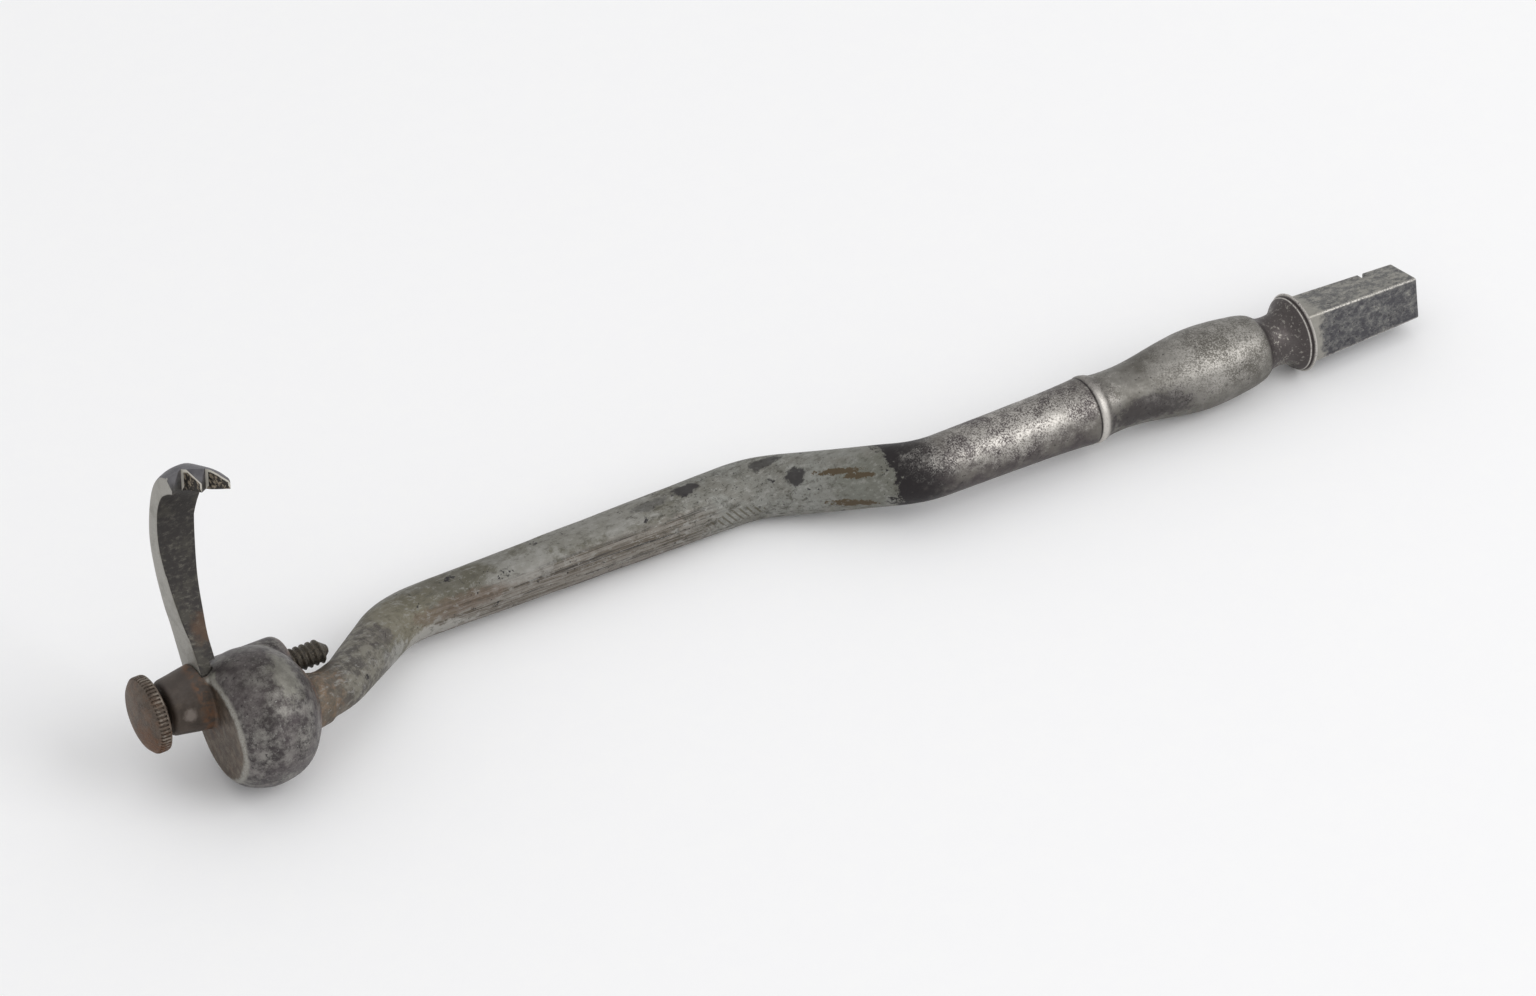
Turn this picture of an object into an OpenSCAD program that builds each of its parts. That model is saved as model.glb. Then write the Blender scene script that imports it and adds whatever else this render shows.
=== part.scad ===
// Dental key: cranked shaft, bolster, swinging claw and pivot screw.
// Millimetres. The main axis is X, the origin is the centre of the collar's seat, Z is up.

/* [Tang] */
// length of the square tang beyond the collar
tang_length = 14.5; // [10:0.5:18]
// side of the square at the collar
tang_root_side = 5.6; // [5:0.1:5.9]
// side of the square at its end
tang_end_side = 4.8; // [3.8:0.1:5]
// roll of the tang about the main axis, degrees
tang_roll = -14.2; // [-30:0.2:0]
// distance of the catch notch from the collar
notch_place = 9; // [7:0.25:9.5]

/* [Turned end] */
// radius of the collar flange
collar_radius = 4.3; // [4.1:0.1:5]
// radius of the waist next to the collar
waist_radius = 2.55; // [2.2:0.05:3]
// largest radius of the bulge
bulge_radius = 4.47; // [4:0.05:5]
// radius of the bead ring
bead_radius = 3.8; // [3.7:0.05:4]

/* [Crank] */
// distance from the collar's seat to the bolster's front face
reach = 129; // [120:1:150]
// sideways offset of the cranked length
crank_offset = 9.7; // [8:0.1:12]
// angle at which the neck leaves the bolster, degrees
root_angle = 15; // [5:1:20]
// angle of the slanted run at the head end, degrees
rise_angle = 40; // [34:1:46]
// angle of the slanted run at the grip end, degrees
fall_angle = 33; // [28:1:40]
// roll of the crank's plane about the main axis, degrees
crank_roll = -16.5; // [-30:0.5:0]
// radius of the four bends at the bar's centre
bend_radius = 9; // [7:0.5:10]
// radius of the bar at the head end of the crank
bar_radius_head = 2.78; // [2.6:0.02:3.1]
// radius of the bar at the tang end of the crank
bar_radius_mid = 3.25; // [3.1:0.05:3.4]
// radius of the neck where it meets the bolster
neck_radius = 2.48; // [2.2:0.02:2.6]

/* [Bolster] */
// largest radius of the drum
drum_radius = 7.1; // [6.8:0.1:7.6]
// radius of the drum's flat front face
face_radius = 5.3; // [5:0.1:5.6]
// length of the drum
drum_length = 10.2; // [9.8:0.2:11]
// radius of the tenon that holds the bolster on the neck
tenon_radius = 1.6; // [1.3:0.1:1.8]

/* [Pivot] */
// sideways place of the pivot axis
pivot_y = 4; // [3.8:0.1:4.4]
// height of the pivot axis
pivot_z = 2.15; // [1.9:0.05:2.4]
// radius of the pivot screw
screw_radius = 1.3; // [1.1:0.05:1.4]
// running clearance of the screw in its bores
screw_clearance = 0.05; // [0.02:0.01:0.08]
// radius of the milled head
head_radius = 4; // [3.4:0.1:4.4]

/* [Claw] */
// thickness of the tab between the lugs
tab_width = 1.3; // [1.1:0.1:1.6]
// side clearance of the tab in the slot
tab_clearance = 0.1; // [0.06:0.02:0.2]
// height of the claw's tip above the main axis
claw_height = 31.1; // [30:0.1:33]
// width of the blade where it rises from the slot
root_width = 2; // [1.8:0.1:2.4]
// width of the blade near the hook
blade_width = 4.1; // [3.6:0.1:4.6]
// how much wider the hook is than the blade, on the side of the long prong
hook_flare = 0.45; // [0.2:0.05:0.6]
// how far the hook's rounded back stands above its side edges
crown_height = 1.15; // [1:0.05:1.3]
// how far each prong reaches beyond its neighbour
prong_step = 2.4; // [1.8:0.1:2.6]
// depth of the notches behind the shorter prong's tip
notch_back = 0.7; // [0.5:0.1:1]

/* [Hidden] */
$fn = 96;
// overshoot of cutting bodies
over = 1;
// runs enter the bends by this length, a hair thinner, so each joint is a clean step
seam = 0.05;
seam_step = 0.02;

// claw: angle of the tab above the table, swing limits, radius of its round eye
claw_lean = 60;
swing_close = 2;
swing_open = -50;
swing_spare = 1;
eye_radius = 2.3;
eye_clearance = 0.15;

// places along the main axis, from the head to the tang
face_x = -reach;
drum_back_x = face_x + drum_length;
slot_width = tab_width + 2*tab_clearance;
slot_x = face_x - 0.4;
tab_x = slot_x + tab_clearance;
blade_x = tab_x + root_width/2;
lug_front_x = slot_x - 3.8;
lug_front_radius = 2.9;
lug_root_radius = 3.45;
boss_radius = 3.15;
boss_end_x = drum_back_x - 0.7;
boss_round = 1.1;
drum_y = 0.25;
drum_z = 0.35;
head_gap = 0.9;
thread_tip_x = boss_end_x + 4.6;

// crank path in its own plane: distance along the axis and offset from it
function heading(angle) = [cos(angle), sin(angle)];
function left_of(angle) = [-sin(angle), cos(angle)];
root_run = 1.2;
neck_start = [drum_back_x + 0.6, 0];
root_start = neck_start + root_run*heading(root_angle);
root_centre = root_start + bend_radius*left_of(root_angle);
rise_start = root_centre - bend_radius*left_of(rise_angle);
rise_drop = bend_radius*(1 - cos(rise_angle));
rise_length = (crank_offset - rise_drop - rise_start[1])/sin(rise_angle);
rise_end = rise_start + rise_length*heading(rise_angle);
rise_centre = rise_end - bend_radius*left_of(rise_angle);
top_start = [rise_centre[0], crank_offset];
grip_start_x = -44.6;
fall_drop = bend_radius*(1 - cos(fall_angle));
fall_end = [grip_start_x - bend_radius*sin(fall_angle), fall_drop];
fall_length = (crank_offset - 2*fall_drop)/sin(fall_angle);
fall_start = fall_end - fall_length*heading(-fall_angle);
top_end = [fall_start[0] - bend_radius*sin(fall_angle), crank_offset];
tenon_length = 5;
tenon_gap = 0.03;

// one point of a smooth curve through four neighbours, t from 0 to 1
function smooth_point(a, b, c, d, t) =
    0.5*(2*b + (c - a)*t + (2*a - 5*b + 4*c - d)*t*t + (3*b - a - 3*c + d)*t*t*t);
// a smooth curve through all points of a list, n steps between neighbours
function smooth_curve(p, n) = [
    for (i = [0 : len(p) - 2], j = [0 : n - 1])
        smooth_point(p[max(i - 1, 0)], p[i], p[i + 1], p[min(i + 2, len(p) - 1)], j/n),
    p[len(p) - 1]
];

// turns a profile of [distance along X, radius] about the main axis
module turned(profile) {
    rotate([0, 90, 0]) rotate_extrude() polygon([for (p = profile) [p[1], p[0]]]);
}

// round taper between two points of the crank's plane, let into the bends at both ends
module taper(start, finish, r1, r2) {
    run = finish - start;
    translate([start[0], start[1], 0])
        rotate([0, 0, atan2(run[1], run[0])])
            rotate([0, 90, 0])
                translate([0, 0, -seam])
                    cylinder(h = norm(run) + 2*seam, r1 = r1 - seam_step, r2 = r2 - seam_step);
}

// bend in the crank's plane: centre, first angle and sweep, degrees
module bend(centre, first, sweep, r) {
    translate([centre[0], centre[1], 0])
        rotate([0, 0, first])
            rotate_extrude(angle = sweep)
                translate([bend_radius, 0]) circle(r = r);
}

// square tang: two tapered prisms crossed, with a small bevel at the end and a catch notch
module tang() {
    bevel = 0.35;
    root = tang_root_side/2;
    end = tang_end_side/2;
    side = [
        [-over, -root], [tang_length - bevel, -end], [tang_length, bevel - end],
        [tang_length, end - bevel], [tang_length - bevel, end], [-over, root]
    ];
    notch_half = 0.4;
    notch_depth = 0.55;
    rotate([tang_roll, 0, 0])
        difference() {
            intersection() {
                linear_extrude(height = 2*tang_root_side, center = true) polygon(side);
                rotate([90, 0, 0])
                    linear_extrude(height = 2*tang_root_side, center = true) polygon(side);
            }
            translate([notch_place, tang_root_side/2, tang_root_side/2])
                rotate([-45, 0, 0])
                    translate([-notch_half, -tang_root_side, -notch_depth - 0.9])
                        cube([2*notch_half, 2*tang_root_side, 3]);
        }
}

// collar, waist, bulge, bead and the grip's plain length
module grip() {
    cove = smooth_curve([[-25.5, 3.42], [-24, 3.3], [-22, 3.32], [-20, 3.5], [-18, 3.82], [-16, 4.15],
        [-14, 4.4], [-12.5, bulge_radius], [-11, 4.42], [-9, 4.25], [-7, 4], [-5.8, 3.72]], 4);
    waist = smooth_curve([[-5.2, 3.45], [-4.6, 2.95], [-3.9, 2.62], [-3.3, waist_radius],
        [-2.7, 2.75], [-2, 3.35]], 4);
    bead_centre = -26.25;
    turned(concat(
        [[grip_start_x - seam, 0], [grip_start_x - seam, bar_radius_mid - seam_step], [-33, 3.38], [-28.4, 3.55], [-27.15, 3.64],
         [-26.95, 3.5]],
        [for (a = [150 : -10 : 30]) [bead_centre + 0.72*cos(a), bead_radius - 0.45 + 0.45*sin(a)]],
        cove, waist,
        [[-1.75, 3.95], [-1.6, collar_radius - 0.12], [-1.45, collar_radius], [-0.95, collar_radius],
         [-0.8, collar_radius - 0.14], [-0.65, collar_radius], [-0.3, collar_radius],
         [0, collar_radius - 0.25], [0, 0]]));
}

// one forging: tenon, neck, four bends, cranked length, grip and tang
module shaft() {
    color("DimGray") {
        rotate([crank_roll, 0, 0]) {
            // tenon and flared neck root
            translate([neck_start[0], neck_start[1], 0])
                rotate([0, 0, root_angle])
                    turned(concat(
                        [[-tenon_length, 0], [-tenon_length, tenon_radius - 0.2],
                         [0.2 - tenon_length, tenon_radius], [0, tenon_radius]],
                        smooth_curve([[0, neck_radius + 0.3], [0.3, neck_radius + 0.14],
                            [0.7, neck_radius + 0.03], [root_run + seam, neck_radius - seam_step]], 4),
                        [[root_run + seam, 0]]));
            bend(root_centre, root_angle - 90, rise_angle - root_angle, neck_radius);
            taper(rise_start, rise_end, neck_radius, bar_radius_head);
            bend(rise_centre, 90, rise_angle, bar_radius_head);
            taper(top_start, top_end, bar_radius_head, bar_radius_mid);
            bend([top_end[0], top_end[1] - bend_radius], 90 - fall_angle, fall_angle, bar_radius_mid);
            taper(fall_start, fall_end, bar_radius_mid, bar_radius_mid);
            bend([grip_start_x, bend_radius], 270 - fall_angle, fall_angle, bar_radius_mid);
        }
        grip();
        tang();
    }
}

// places a child on the pivot axis, its own Z along +X
module on_pivot(x) {
    translate([x, pivot_y, pivot_z]) rotate([0, 90, 0]) children();
}

// swept room of the claw's tab between its swing limits, in the plane across the pivot
module slot_shape() {
    half = eye_radius + eye_clearance;
    far = 16;
    low = claw_lean + swing_open - swing_spare;
    high = claw_lean + swing_close + swing_spare;
    middle = (low + high)/2;
    circle(r = half);
    for (a = [low, high]) rotate(a) translate([0, -half]) square([far, 2*half]);
    polygon([[0, 0], far*[cos(low), sin(low)], 1.3*far*[cos(middle), sin(middle)],
        far*[cos(high), sin(high)]]);
}

// drum with its front lug and far lug, slotted and bored for the claw and the screw
module bolster() {
    edge = 0.12;
    step = drum_radius - face_radius;
    drum = concat(
        [[0, 0], [0, face_radius - edge], [edge, face_radius]],
        smooth_curve([[edge, face_radius], [0.07*drum_length, face_radius + 0.42*step],
            [0.18*drum_length, drum_radius - 0.25*step], [0.33*drum_length, drum_radius],
            [0.49*drum_length, 0.993*drum_radius], [0.64*drum_length, 0.941*drum_radius],
            [0.765*drum_length, 0.831*drum_radius], [0.863*drum_length, 0.676*drum_radius],
            [0.946*drum_length, 0.493*drum_radius], [drum_length, 0.31*drum_radius]], 4),
        [[drum_length, 0]]);
    boss_length = boss_end_x - slot_x;
    color("SlateGray")
        difference() {
            union() {
                translate([face_x, drum_y, drum_z]) turned(drum);
                on_pivot(lug_front_x)
                    rotate_extrude() polygon([[0, 0], [lug_front_radius - 0.3, 0],
                        [lug_front_radius, 0.3], [lug_root_radius, slot_x - lug_front_x],
                        [lug_root_radius, slot_x - lug_front_x + 1.6], [0, slot_x - lug_front_x + 1.6]]);
                on_pivot(slot_x)
                    rotate_extrude() polygon(concat([[0, 0], [boss_radius, 0]],
                        [for (a = [0 : 10 : 90]) [boss_radius - boss_round*(1 - cos(a)),
                            boss_length - boss_round*(1 - sin(a))]],
                        [[0, boss_length]]));
            }
            // slot for the claw
            translate([slot_x, pivot_y, pivot_z])
                rotate([90, 0, 90]) linear_extrude(height = slot_width) slot_shape();
            // bore for the screw
            on_pivot(lug_front_x - over)
                cylinder(h = boss_end_x - lug_front_x + 2*over, r = screw_radius + screw_clearance);
            // socket and flat seat for the shaft's tenon
            rotate([crank_roll, 0, 0])
                translate([neck_start[0], neck_start[1], 0])
                    rotate([0, 0, root_angle])
                        rotate([0, 90, 0]) {
                            translate([0, 0, -tenon_length - 0.2])
                                cylinder(h = tenon_length + 2, r = tenon_radius + tenon_gap);
                            translate([0, 0, -tenon_gap])
                                cylinder(h = 4, r = neck_radius + 1.2);
                        }
        }
}

// hook: side outline crossed with the front outline, a rounded back, a bored eye and three prongs
module claw() {
    lean = [cos(claw_lean), sin(claw_lean)];
    across = [sin(claw_lean), -cos(claw_lean)];
    pivot = [pivot_y, pivot_z];
    // the outlines are drawn for a claw 31.1 units high
    unit = claw_height/31.1;
    tip = unit*[0.5, 31.1];
    back = unit*[[8.7, 5.4], [10.65, 9.4], [11.45, 13.6], [11.4, 18], [10.7, 22.6], [9.4, 26.2], [7.5, 28.2],
        [5.2, 29.1], [2.8, 29.9]];
    hollow = unit*[[2.9, 28.9], [5.2, 27.75], [7.3, 26], [8.65, 24]];
    shank = unit*[[9.25, 21], [9.25, 18.2], [8.7, 15], [7.4, 11.6], [5.6, 8.5]];
    root = pivot - eye_radius*across;
    outer = smooth_curve(concat([pivot + eye_radius*across], back, [tip]), 5);
    tip_under = tip + unit*[0.15, -0.8];
    inner = smooth_curve(concat([tip_under], hollow, shank, [root + 2*lean, root]), 5);
    half_root = root_width/2;
    half_blade = blade_width/2;
    tab_side = tab_width - half_root;
    side = smooth_curve([[half_root, 8.2*unit], [half_root + 0.15, 9.6*unit], [0.8*half_blade, 14*unit],
        [0.97*half_blade, 18*unit], [half_blade, 20.5*unit]], 4);
    front = concat([[tab_side, -10*unit], [tab_side, 6.25*unit], [half_root, 6.4*unit]], side,
        [[half_blade + hook_flare, 23.5*unit], [half_blade + hook_flare, 40*unit], [-half_blade, 40*unit]],
        [for (i = [len(side) - 1 : -1 : 0]) [-side[i][0], side[i][1]]], [[-half_root, -10*unit]]);
    // rounded back: a bar of this radius lies along the hook, under a line that leaves the bend
    half_hook = half_blade + hook_flare/2;
    crown_radius = (half_hook*half_hook + crown_height*crown_height)/(2*crown_height);
    crown_rise = 29;
    crown_lift = [sin(crown_rise), cos(crown_rise)];
    crown_top = back[7] + unit*[0.8, -0.35] + crown_height*crown_lift;
    crown_start = crown_top - crown_radius*crown_lift;
    crown_line = smooth_curve([back[5], back[6] + unit*[0.25, 0.4], crown_top, crown_top + unit*[-2.4, 1.4],
        tip + unit*[0, 0.2]], 5);
    crown_side = concat([for (i = [0 : 20]) inner[i]], crown_line);
    // prongs and notches seen from above: [side, distance]
    long_prong = [0.93*half_blade, tip[0]];
    mid_prong = [0, tip[0] + prong_step];
    short_prong = [-0.93*half_blade, tip[0] + 2*prong_step];
    notch_right = [0.37*half_blade, mid_prong[1] + notch_back];
    notch_left = [-0.34*half_blade, short_prong[1] + notch_back];
    beyond = tip[0] - 3*over;
    aside = half_blade + hook_flare + over;
    color("Gray")
        translate([blade_x, 0, 0])
            difference() {
                union() {
                    intersection() {
                        translate([-half_blade, 0, 0]) rotate([90, 0, 90])
                            linear_extrude(height = blade_width + hook_flare) union() {
                                translate(pivot) circle(r = eye_radius);
                                polygon(concat([pivot], outer, inner));
                            }
                        rotate([90, 0, 0]) linear_extrude(height = 60*unit, center = true)
                            polygon(front);
                    }
                    intersection() {
                        translate([-half_blade, 0, 0]) rotate([90, 0, 90])
                            linear_extrude(height = blade_width + hook_flare) polygon(crown_side);
                        translate([hook_flare/2, crown_start[0], crown_start[1]])
                            rotate([90 - crown_rise, 0, 0])
                                cylinder(h = 30*unit, r = crown_radius, center = true);
                    }
                }
                translate([0, pivot_y, pivot_z]) rotate([0, 90, 0])
                    cylinder(h = 3*blade_width, r = screw_radius + screw_clearance, center = true);
                // stepped end with its three prongs
                translate([0, 0, 20*unit]) linear_extrude(height = 20*unit)
                    polygon([[aside, long_prong[1] + 6], long_prong, notch_right, mid_prong, notch_left, short_prong,
                        [-aside, short_prong[1] + 0.3], [-aside, beyond], [aside, beyond]]);
                // slanted bevel that thins the prongs towards their tips
                translate([0, mid_prong[1], 29.5*unit]) rotate([15.5, -56.3, 0])
                    translate([-20*unit, -20*unit, 0]) cube(40*unit);
                // narrower bevel along the other edge of the hook's back
                translate([half_blade + hook_flare, 7.2*unit, 27.6*unit]) rotate([-26, 35, 0])
                    translate([-20*unit, -20*unit, 0]) cube(40*unit);
            }
}

// domed milled head, narrow neck, plain shank and pointed end
module pivot_screw() {
    head_back = head_gap;
    rim = 1.25;
    dome = 0.9;
    length = thread_tip_x - lug_front_x;
    color("SaddleBrown")
        on_pivot(lug_front_x)
            rotate_extrude() polygon(concat(
                [[0, -head_back - rim - dome]],
                [for (a = [15 : 15 : 75]) [(head_radius - 0.3)*sin(a), -head_back - rim - dome*cos(a)]],
                [[head_radius - 0.12, -head_back - rim + 0.08], [head_radius, 0.25 - head_back - rim],
                 [head_radius, -head_back - 0.2], [head_radius - 0.2, -head_back],
                 [screw_radius + 0.55, -head_back], [screw_radius + 0.55, -0.25], [screw_radius, -0.15],
                 [screw_radius, length - 1.1], [0.5, length - 0.1], [0.3, length], [0, length]]));
}

shaft();
bolster();
claw();
pivot_screw();
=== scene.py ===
"""Looks of the dental key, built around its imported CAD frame."""

import math

import bmesh
import bpy
from bpy.props import FloatProperty, FloatVectorProperty, IntProperty, PointerProperty
from mathutils import Matrix, Vector, noise


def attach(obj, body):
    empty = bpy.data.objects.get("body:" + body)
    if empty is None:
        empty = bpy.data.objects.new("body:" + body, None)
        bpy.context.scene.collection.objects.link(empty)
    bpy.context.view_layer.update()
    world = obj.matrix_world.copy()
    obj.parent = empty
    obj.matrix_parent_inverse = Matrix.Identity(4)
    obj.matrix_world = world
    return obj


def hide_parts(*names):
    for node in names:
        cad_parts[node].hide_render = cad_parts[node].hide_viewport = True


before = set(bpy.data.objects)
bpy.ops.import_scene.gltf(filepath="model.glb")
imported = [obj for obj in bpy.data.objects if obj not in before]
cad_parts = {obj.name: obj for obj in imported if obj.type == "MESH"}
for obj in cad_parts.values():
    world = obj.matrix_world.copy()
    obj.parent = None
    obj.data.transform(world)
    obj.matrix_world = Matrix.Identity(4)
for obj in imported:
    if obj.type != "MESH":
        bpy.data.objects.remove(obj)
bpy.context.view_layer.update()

bl_info = {
    "name": "Dental key",
    "version": (1, 0, 0),
    "blender": (4, 5, 0),
    "location": "View3D > Sidebar > Dental key",
    "description": "Builds the shaft, bolster, claw and screw of a dental key on its CAD frame",
    "category": "Object",
}


def mm(value):
    """Millimetres as metres."""
    return value / 1000.0


def length(label, description, default):
    """A length property, its default in millimetres."""
    return FloatProperty(name=label, description=description, default=mm(default), min=0.0, unit="LENGTH")


def place(label, description, default):
    """A coordinate property that may be negative, its default in millimetres."""
    return FloatProperty(name=label, description=description, default=mm(default), unit="LENGTH")


def angle(label, description, default):
    """An angle property, its default in degrees."""
    turn = math.radians(default)
    return FloatProperty(name=label, description=description, default=turn, unit="ROTATION")


def number(label, description, default):
    """A plain number that is not negative."""
    return FloatProperty(name=label, description=description, default=default, min=0.0)


def colour(label, default):
    """A colour property, its default linear."""
    description = "Linear colour: " + label.lower()
    return FloatVectorProperty(
        name=label, description=description, default=default, size=3, min=0.0, max=1.0, subtype="COLOR"
    )


class KeySizes(bpy.types.PropertyGroup):
    """Sizes of the pieces; most follow the CAD source."""

    reach: length("Reach", "Collar seat to the bolster's front face", 129)
    drum_length: length("Drum length", "Front face to the back of the drum", 10.2)
    drum_radius: length("Drum radius", "Largest radius of the drum", 7.1)
    face_radius: length("Face radius", "Radius of the drum's flat front face", 5.3)
    drum_y: place("Drum side", "Sideways place of the drum's axis", 0.25)
    drum_z: place("Drum height", "Height of the drum's axis", 0.35)
    pivot_y: place("Pivot side", "Sideways place of the pivot axis", 4)
    pivot_z: place("Pivot height", "Height of the pivot axis", 2.15)
    slot_width: length("Slot width", "Width of the slot for the claw's tab", 1.5)
    slot_place: length("Slot place", "How far before the drum's face the slot starts", 0.4)
    slot_half: length("Slot room", "Half height of the room for the tab's foot", 2.45)
    slot_low: angle("Slot, low", "Lower limit of the slot", 9)
    slot_high: angle("Slot, high", "Upper limit of the slot", 63)
    lug_length: length("Lug length", "Length of the front lug", 3.8)
    lug_front: length("Lug radius, front", "Radius of the front lug at the screw's head", 2.9)
    lug_back: length("Lug radius, back", "Radius of the front lug at the slot", 3.45)
    lug_chamfer: length("Lug chamfer", "Chamfer at the front of the front lug", 0.3)
    boss_radius: length("Boss radius", "Radius of the far lug", 3.15)
    boss_short: length("Boss end", "How far before the drum's back the far lug ends", 0.7)
    boss_round: length("Boss rounding", "Rounding of the far lug's end", 1.1)
    clearance: length("Clearance", "Room around the screw in the bore and the eye", 0.05)
    crank_offset: length("Crank offset", "Sideways offset of the cranked length", 9.7)
    crank_roll: angle("Crank roll", "Roll of the crank's plane about the main axis", -16.5)
    root_angle: angle("Root angle", "Angle at which the neck leaves the bolster", 15)
    rise_angle: angle("Rise angle", "Angle of the run near the head", 40)
    fall_angle: angle("Fall angle", "Angle of the run near the grip", 33)
    bend_radius: length("Bend radius", "Radius of the bends at the bar's centre", 9)
    grip_start: place("Grip start", "Where the crank ends and the grip's axis starts", -44.6)
    neck_start: length("Neck start", "Where the neck's fillet starts behind the drum", 0.6)
    neck_radius: length("Neck radius", "Radius of the neck", 2.48)
    bar_radius_head: length("Bar radius, head", "Radius of the bar at the head end", 2.78)
    bar_radius_mid: length("Bar radius, grip", "Radius of the bar at the grip end", 3.25)
    tang_length: length("Tang length", "Length of the square tang", 14.5)
    tang_root: length("Tang root", "Side of the square at the collar", 5.6)
    tang_end: length("Tang end", "Side of the square at its end", 4.8)
    tang_roll: angle("Tang roll", "Roll of the tang about the main axis", -14.2)
    tang_seat: length("Tang seat", "How far the tang starts inside the collar", 0.4)
    tang_corner: length("Tang corners", "Worn rounding of the tang's corners", 0.24)
    notch_place: length("Catch place", "Distance of the catch notch from the collar", 10.4)
    notch_width: length("Catch width", "Width of the catch notch", 0.75)
    notch_depth: length("Catch depth", "Depth of the catch notch across the corner", 2.2)
    screw_radius: length("Screw radius", "Outside radius of the screw", 1.3)
    collar_height: length("Screw collar", "Height of the collar behind the head", 0.55)
    tail_length: length("Screw tail", "How far the screw stands out of the far lug", 4.6)
    head_radius: length("Head radius", "Radius of the milled head", 4)
    head_gap: length("Head gap", "Gap between the head and the front lug", 0.9)
    head_rim: length("Head rim", "Width of the head's milled rim", 1.25)
    head_dome: length("Head dome", "Height of the head's dome", 0.9)
    head_teeth: IntProperty(name="Head teeth", description="Teeth around the head", default=56, min=8)
    tooth_depth: length("Tooth depth", "Depth of the gaps between the teeth", 0.16)
    thread_pitch: length("Thread pitch", "Pitch of the screw's thread", 0.68)
    thread_depth: length("Thread depth", "Depth of the screw's thread", 0.2)
    tab_width: length("Tab width", "Thickness of the claw's tab", 1.3)
    root_width: length("Root width", "Width of the blade where it rises from the slot", 2)
    blade_width: length("Blade width", "Width of the claw near its hook", 4.1)
    hook_flare: length("Hook flare", "Extra width of the hook on the side of the long prong", 0.45)
    prong_step: length("Prong step", "How far each prong reaches beyond its neighbour", 2.4)
    notch_back: length("Notch depth", "Depth of the notches behind the shorter prong's tip", 0.7)
    tip_side: place("Tip side", "Sideways place of the long prong's tip", 0.5)
    bevel_height: length("Bevel height", "Height of the bevel behind the prongs", 30)
    bevel_roll: angle("Bevel roll", "Turn of that bevel about the Y axis", -56.3)
    bevel_pitch: angle("Bevel pitch", "Turn of that bevel about the X axis", 15.5)
    flank_rim: length("Flank rim", "Width of the light rims of the prongs", 0.34)
    flank_depth: length("Flank depth", "How deep the prongs' flanks lie within their rims", 0.06)
    foot_radius: length("Foot radius", "Radius of the tab's foot about the pivot", 2.3)
    foot_lean: angle("Foot lean", "Lean of the tab at its foot", 60)
    ripple: length("Forging ripple", "Height of the hand-forged unevenness", 0.035)


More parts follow.
